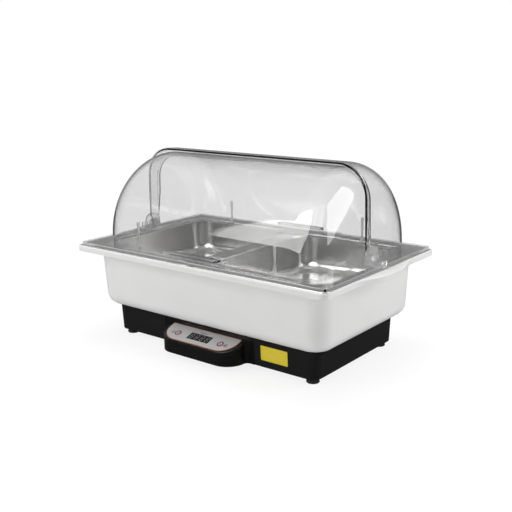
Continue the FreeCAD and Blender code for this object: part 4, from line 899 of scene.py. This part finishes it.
def makeDigits(sizes):
    # four unlit seven-bar figures that lie in the dark window
    wide, high = sizes["digitWide"] / 2, sizes["digitHigh"] / 2
    thick, gap = sizes["barWide"] / 2, sizes["barGap"]
    bars = []
    for level in (-1, 0, 1):
        bars.append(((-wide, high * level), (wide, high * level)))
    for place in (-1, 1):
        for low, top in ((-1, 0), (0, 1)):
            bars.append(((wide * place, high * low), (wide * place, high * top)))
    points, faces = [], []
    for number in range(sizes["digits"]):
        middle = (number - (sizes["digits"] - 1) / 2) * sizes["digitPitch"]
        for start, end in bars:
            a, b = Vector(start), Vector(end)
            ahead = (b - a).normalized()
            beside = Vector((-ahead.y, ahead.x)) * thick
            a, b = a + ahead * gap, b - ahead * gap
            inA, inB = a + ahead * thick, b - ahead * thick
            outline = [a, inA - beside, inB - beside, b, inB + beside, inA + beside]
            offset = len(points)
            for lift in (sizes["windowTop"] - sizes["barDeep"], sizes["windowTop"]):
                for spot in outline:
                    across = middle + spot.x + spot.y * sizes["digitLean"]
                    points.append(onSlope(across, sizes["fromBack"] - spot.y, lift, sizes))
            faces.append(tuple(offset + index for index in range(5, -1, -1)))
            faces.append(tuple(offset + 6 + index for index in range(6)))
            for index in range(6):
                after = (index + 1) % 6
                faces.append((offset + index, offset + after, offset + 6 + after, offset + 6 + index))
    addPiece("displayDigits", points, faces, "dark_lens", "base", finish=digitFinish)


def layMark(points, faces, outline, centre, height, sizes):
    # a thin flat mark: outline runs in (across, up the slope) from the centre, height gives its lift
    x, down = centre
    offset, count = len(points), len(outline)
    for ink in (-sizes["ink"], sizes["ink"]):
        for u, v in outline:
            points.append(onSlope(x + u, down - v, height(math.hypot(u, v)) + ink, sizes))
    faces.append(tuple(offset + index for index in reversed(range(count))))
    faces.append(tuple(offset + count + index for index in range(count)))
    for index in range(count):
        after = (index + 1) % count
        faces.append((offset + index, offset + after, offset + count + after, offset + count + index))


def layArc(points, faces, inner, outer, start, end, centre, height, sizes, steps=40):
    # a ring or part of one, in short blocks that share their ends
    for step in range(steps):
        a, b = [math.radians(start + (end - start) * (step + more) / steps) for more in (0, 1)]
        outline = [(radius * math.cos(turn), radius * math.sin(turn)) for radius, turn in
                   ((inner, a), (outer, a), (outer, b), (inner, b))]
        layMark(points, faces, outline, centre, height, sizes)


def bar(x, y, halfWide, halfHigh):
    return [(x - halfWide, y - halfHigh), (x + halfWide, y - halfHigh),
            (x + halfWide, y + halfHigh), (x - halfWide, y + halfHigh)]


markSet = {                                     # arcs: inner and outer radius, first and last degree
    "ring": (4.0, 6.1, 0, 360),
    "power": {"arc": (1.9, 2.8, 125, 415), "bars": [(0, 2.1, 0.45, 1.5)]},
    "set": {"arc": (2.2, 3.0, 90, 360), "bars": [(0, 1.2, 0.4, 1.2), (0.8, 0, 1.0, 0.4)]},
    "arcSteps": 28,
    "besideGap": 11.0, "rowPitch": 2.6, "rowWide": 3.4, "rowLess": 0.6, "rowHigh": 0.65,
    "above": [(0, 0.8, 9.0, 0.35), (0, -0.8, 6.0, 0.35)], "aboveDown": 9.0,
}


def makeMarks(sizes, marks):
    # a red ring with a plain sign on each button cap, and plain bars printed beside it and above the window
    def onCap(radius):
        return sizes["capRim"] + sizes["capRise"] * (1 - radius / sizes["capRadius"])

    def onFilm(radius):
        return sizes["filmTop"]

    for which, side in (("power", -1), ("set", 1)):
        centre = (sizes["button"] * side, sizes["buttonBack"])
        points, faces = [], []
        layArc(points, faces, *marks["ring"], centre, onCap, sizes)
        layArc(points, faces, *marks[which]["arc"], centre, onCap, sizes, marks["arcSteps"])
        for spot in marks[which]["bars"]:
            layMark(points, faces, bar(*spot), centre, onCap, sizes)
        addPiece(which + "Ring", points, faces, "button_cap", which + "_button", finish=redInk)
        beside = (centre[0] + marks["besideGap"] * side, centre[1])
        points, faces = [], []
        for row in (-1, 0, 1):
            halfWide = marks["rowWide"] - marks["rowLess"] * abs(row)
            outline = bar(0, row * marks["rowPitch"], halfWide, marks["rowHigh"])
            layMark(points, faces, outline, beside, onFilm, sizes)
        ink = greyInk if which == "power" else redInk
        addPiece(which + "Print", points, faces, "silver_film", "base", finish=ink)
    points, faces = [], []
    for spot in marks["above"]:
        layMark(points, faces, bar(*spot), (0, marks["aboveDown"]), onFilm, sizes)
    addPiece("windowPrint", points, faces, "silver_film", "base", finish=greyInk)


digitFinish = plainCoat("unlitBars", (0.24, 0.235, 0.23), (0.31, 0.30, 0.29), 0.5)
redInk = plainCoat("redInk", (0.17, 0.006, 0.02), (0.23, 0.015, 0.035), 0.5)
greyInk = plainCoat("greyInk", (0.14, 0.12, 0.14), (0.20, 0.18, 0.20), 0.5)
makeDigits(panelSet)
makeMarks(panelSet, markSet)

plateSet = {
    "x": 139.5, "z": 34.5, "length": 53.0, "height": 25.0, "corner": 1.2,
    "thick": 0.35, "sunk": 0.3, "bevel": 0.1,
    "wallY": -118.5, "lean": 2.4 / 47.0, "foot": 10.0,
}


def makePlate(sizes):
    # a bare yellow plate that follows the wall's lean
    thick, bevel = sizes["thick"], sizes["bevel"]
    rings = []
    for grow, lift in ((0.0, -sizes["sunk"]), (0.0, thick - bevel), (-bevel, thick)):
        outline = boxPath(sizes["length"] / 2 + grow, sizes["height"] / 2 + grow, sizes["corner"], 6)
        ring = []
        for x, z in outline:
            height = sizes["z"] + z
            wall = sizes["wallY"] - (height - sizes["foot"]) * sizes["lean"]
            ring.append((sizes["x"] + x, wall - lift, height))
        rings.append(ring)
    points, faces = skinRings(rings)
    addPiece("barePlate", points, faces, "black_plastic", "base", finish=plateFinish, angle=20)


plateFinish = plainCoat("yellowFilm", (0.76, 0.60, 0.03), (0.86, 0.70, 0.05), 0.4, scale=120.0, height=0.03)
makePlate(plateSet)
print("panel details made")


# Surroundings: floor, soft lamps and the white room

roomSet = {
    "floor": 14000.0,
    "ambient": 0.39,
    "white": 1.0,
    "whiteSide": (-0.62, 0.78, 0.0),                                # level direction of the white side
    "round": [(0.0, 0.10), (0.5, 0.20), (0.78, 0.30), (1.0, 0.34)], # from the dark side to the white side
    "height": [(0.0, 1.0), (0.31, 0.85), (0.5, 1.0), (0.68, 1.0)],
    "overhead": [(0.60, 0.0), (0.85, 0.30), (1.0, 0.45)],
    "floorGloss": 0.10,
    "glow": 1.035,                              # the floor's own white
    "glowShare": 0.81, "glowGrowth": 0.07,      # less of it near the object, where the shadow lies
    "edge": 0.012,
}

softBoxes = {                                   # corners as (degrees round from +X, degrees up)
    "frontLow": {"corners": [(-131, 9), (-134, 28), (-63, 28), (-81, 8)], "light": 4.4},
    "frontHigh": {
        "corners": [(-134, 28), (-139, 41), (-128, 50), (-100, 68), (-68, 59), (-57, 47), (-63, 28)],
        "light": 4.4,
    },
    "right": {"corners": [(-7, 51), (-2, 19), (10, 0), (43, -4), (47, 16), (49, 51)], "light": 2.8},
}

lampSet = {
    "front": {"place": (-1220, -1460, 950), "size": (1200, 1200), "power": 14.4},
    "right": {"place": (1450, 1200, 800), "size": (1100, 1100), "power": 16.2},
    "top": {"place": (-100, 100, 2100), "size": (1300, 1100), "power": 23.0},
}


def lightPaths(f):
    # (1 where the ray has only come straight or through clear walls, 1 where it has been mirrored)
    seen = f.node("LightPath", output="Is Camera Ray")
    through = f.node("LightPath", output="Is Transmission Ray")
    glossy = f.node("LightPath", output="Is Glossy Ray")
    bounced = f.node("LightPath", output="Glossy Depth") > 0.5
    free = 1.0 - (f.node("LightPath", output="Diffuse Depth") > 0.5)
    straight = f.node("Math", {"operation": "MAXIMUM"}, {0: seen, 1: free * through * (1.0 - bounced)})
    return straight, free * bounced * glossy


def makeFloor(sizes):
    half = sizes["floor"] / 2
    mesh = bpy.data.meshes.new("floor")
    corners = [(-half, -half, 0), (half, -half, 0), (half, half, 0), (-half, half, 0)]
    mesh.from_pydata([Vector(corner) * mm for corner in corners], [], [(0, 1, 2, 3)])
    floor = bpy.data.objects.new("floor", mesh)
    bpy.context.collection.objects.link(floor)
    f = newFinish("palePaper")
    straight, mirrored = lightPaths(f)
    paper = f.node("BsdfDiffuse", sockets={"Color": grey(0.9)})
    glow = f.node("Emission", sockets={"Color": grey(sizes["white"]), "Strength": sizes["glow"]})
    dim = f.node("Emission", sockets={"Color": grey(sizes["floorGloss"])})
    away = f.node("VectorMath", {"operation": "LENGTH"}, {0: f.position()}, "Value")
    share = f.node(
        "Math", {"operation": "MULTIPLY_ADD", "use_clamp": True},
        {0: away, 1: sizes["glowGrowth"], 2: sizes["glowShare"]},
    )
    bright = f.node("MixShader", sockets={0: share * straight, 1: paper, 2: glow})
    mesh.materials.append(f.surface(f.node("MixShader", sockets={0: mirrored, 1: bright, 2: dim})))


def onSky(turn, rise):
    turn, rise = math.radians(turn), math.radians(rise)
    return Vector((math.cos(turn) * math.cos(rise), math.sin(turn) * math.cos(rise), math.sin(rise)))


def makeWorld(sizes, panels):
    world = bpy.data.worlds.new("whiteRoom")
    bpy.context.scene.world = world
    world.use_nodes = True
    f = Finish(world)
    heading = f.node("TexCoord", output="Generated")

    def towards(direction):
        return f.node("VectorMath", {"operation": "DOT_PRODUCT"}, {0: heading, 1: direction}, "Value")

    def beyond(value):
        soft = {"operation": "MULTIPLY_ADD", "use_clamp": True}
        return f.node("Math", soft, {0: value, 1: 1 / sizes["edge"], 2: 0.5})

    def ramp(value, stops):
        return f.node("ValToRGB", {"stops": [(at, grey(light)) for at, light in stops]}, {"Fac": value})

    up = towards((0, 0, 1))
    room = ramp(0.5 + 0.5 * towards(sizes["whiteSide"]), sizes["round"]) * ramp(up, sizes["height"])
    room += ramp(up, sizes["overhead"])
    for panel in panels.values():
        corners = [onSky(*corner) for corner in panel["corners"]]
        middle = sum(corners, Vector())
        glow = panel["light"]
        for first, last in zip(corners, corners[1:] + corners[:1]):
            inward = first.cross(last).normalized()
            inward *= math.copysign(1.0, inward.dot(middle))
            glow = glow * beyond(towards(inward))
        room += glow
    straight, mirrored = lightPaths(f)
    level = sizes["ambient"] * (1.0 - straight - mirrored) + sizes["white"] * straight + room * mirrored
    f.surface(f.node("Background", sockets={"Color": grey(1.0), "Strength": level}))


def makeLamp(name, sizes):
    data = bpy.data.lights.new(name + "Lamp", "AREA")
    data.shape = "RECTANGLE"
    data.size = sizes["size"][0] * mm
    data.size_y = sizes["size"][1] * mm
    data.energy = sizes["power"]
    lamp = bpy.data.objects.new(name + "Lamp", data)
    place = Vector(sizes["place"]) * mm
    lamp.location = place
    ahead = Vector((0, 0, 0.15)) - place
    lamp.rotation_euler = ahead.to_track_quat("-Z", "Y").to_euler()
    lamp.visible_glossy = False                 # the room's own soft boxes are what shines
    lamp.visible_transmission = False
    bpy.context.collection.objects.link(lamp)


makeFloor(roomSet)
makeWorld(roomSet, softBoxes)
for name, sizes in lampSet.items():
    makeLamp(name, sizes)
bpy.context.scene.view_settings.view_transform = "Standard"
print("room lit")
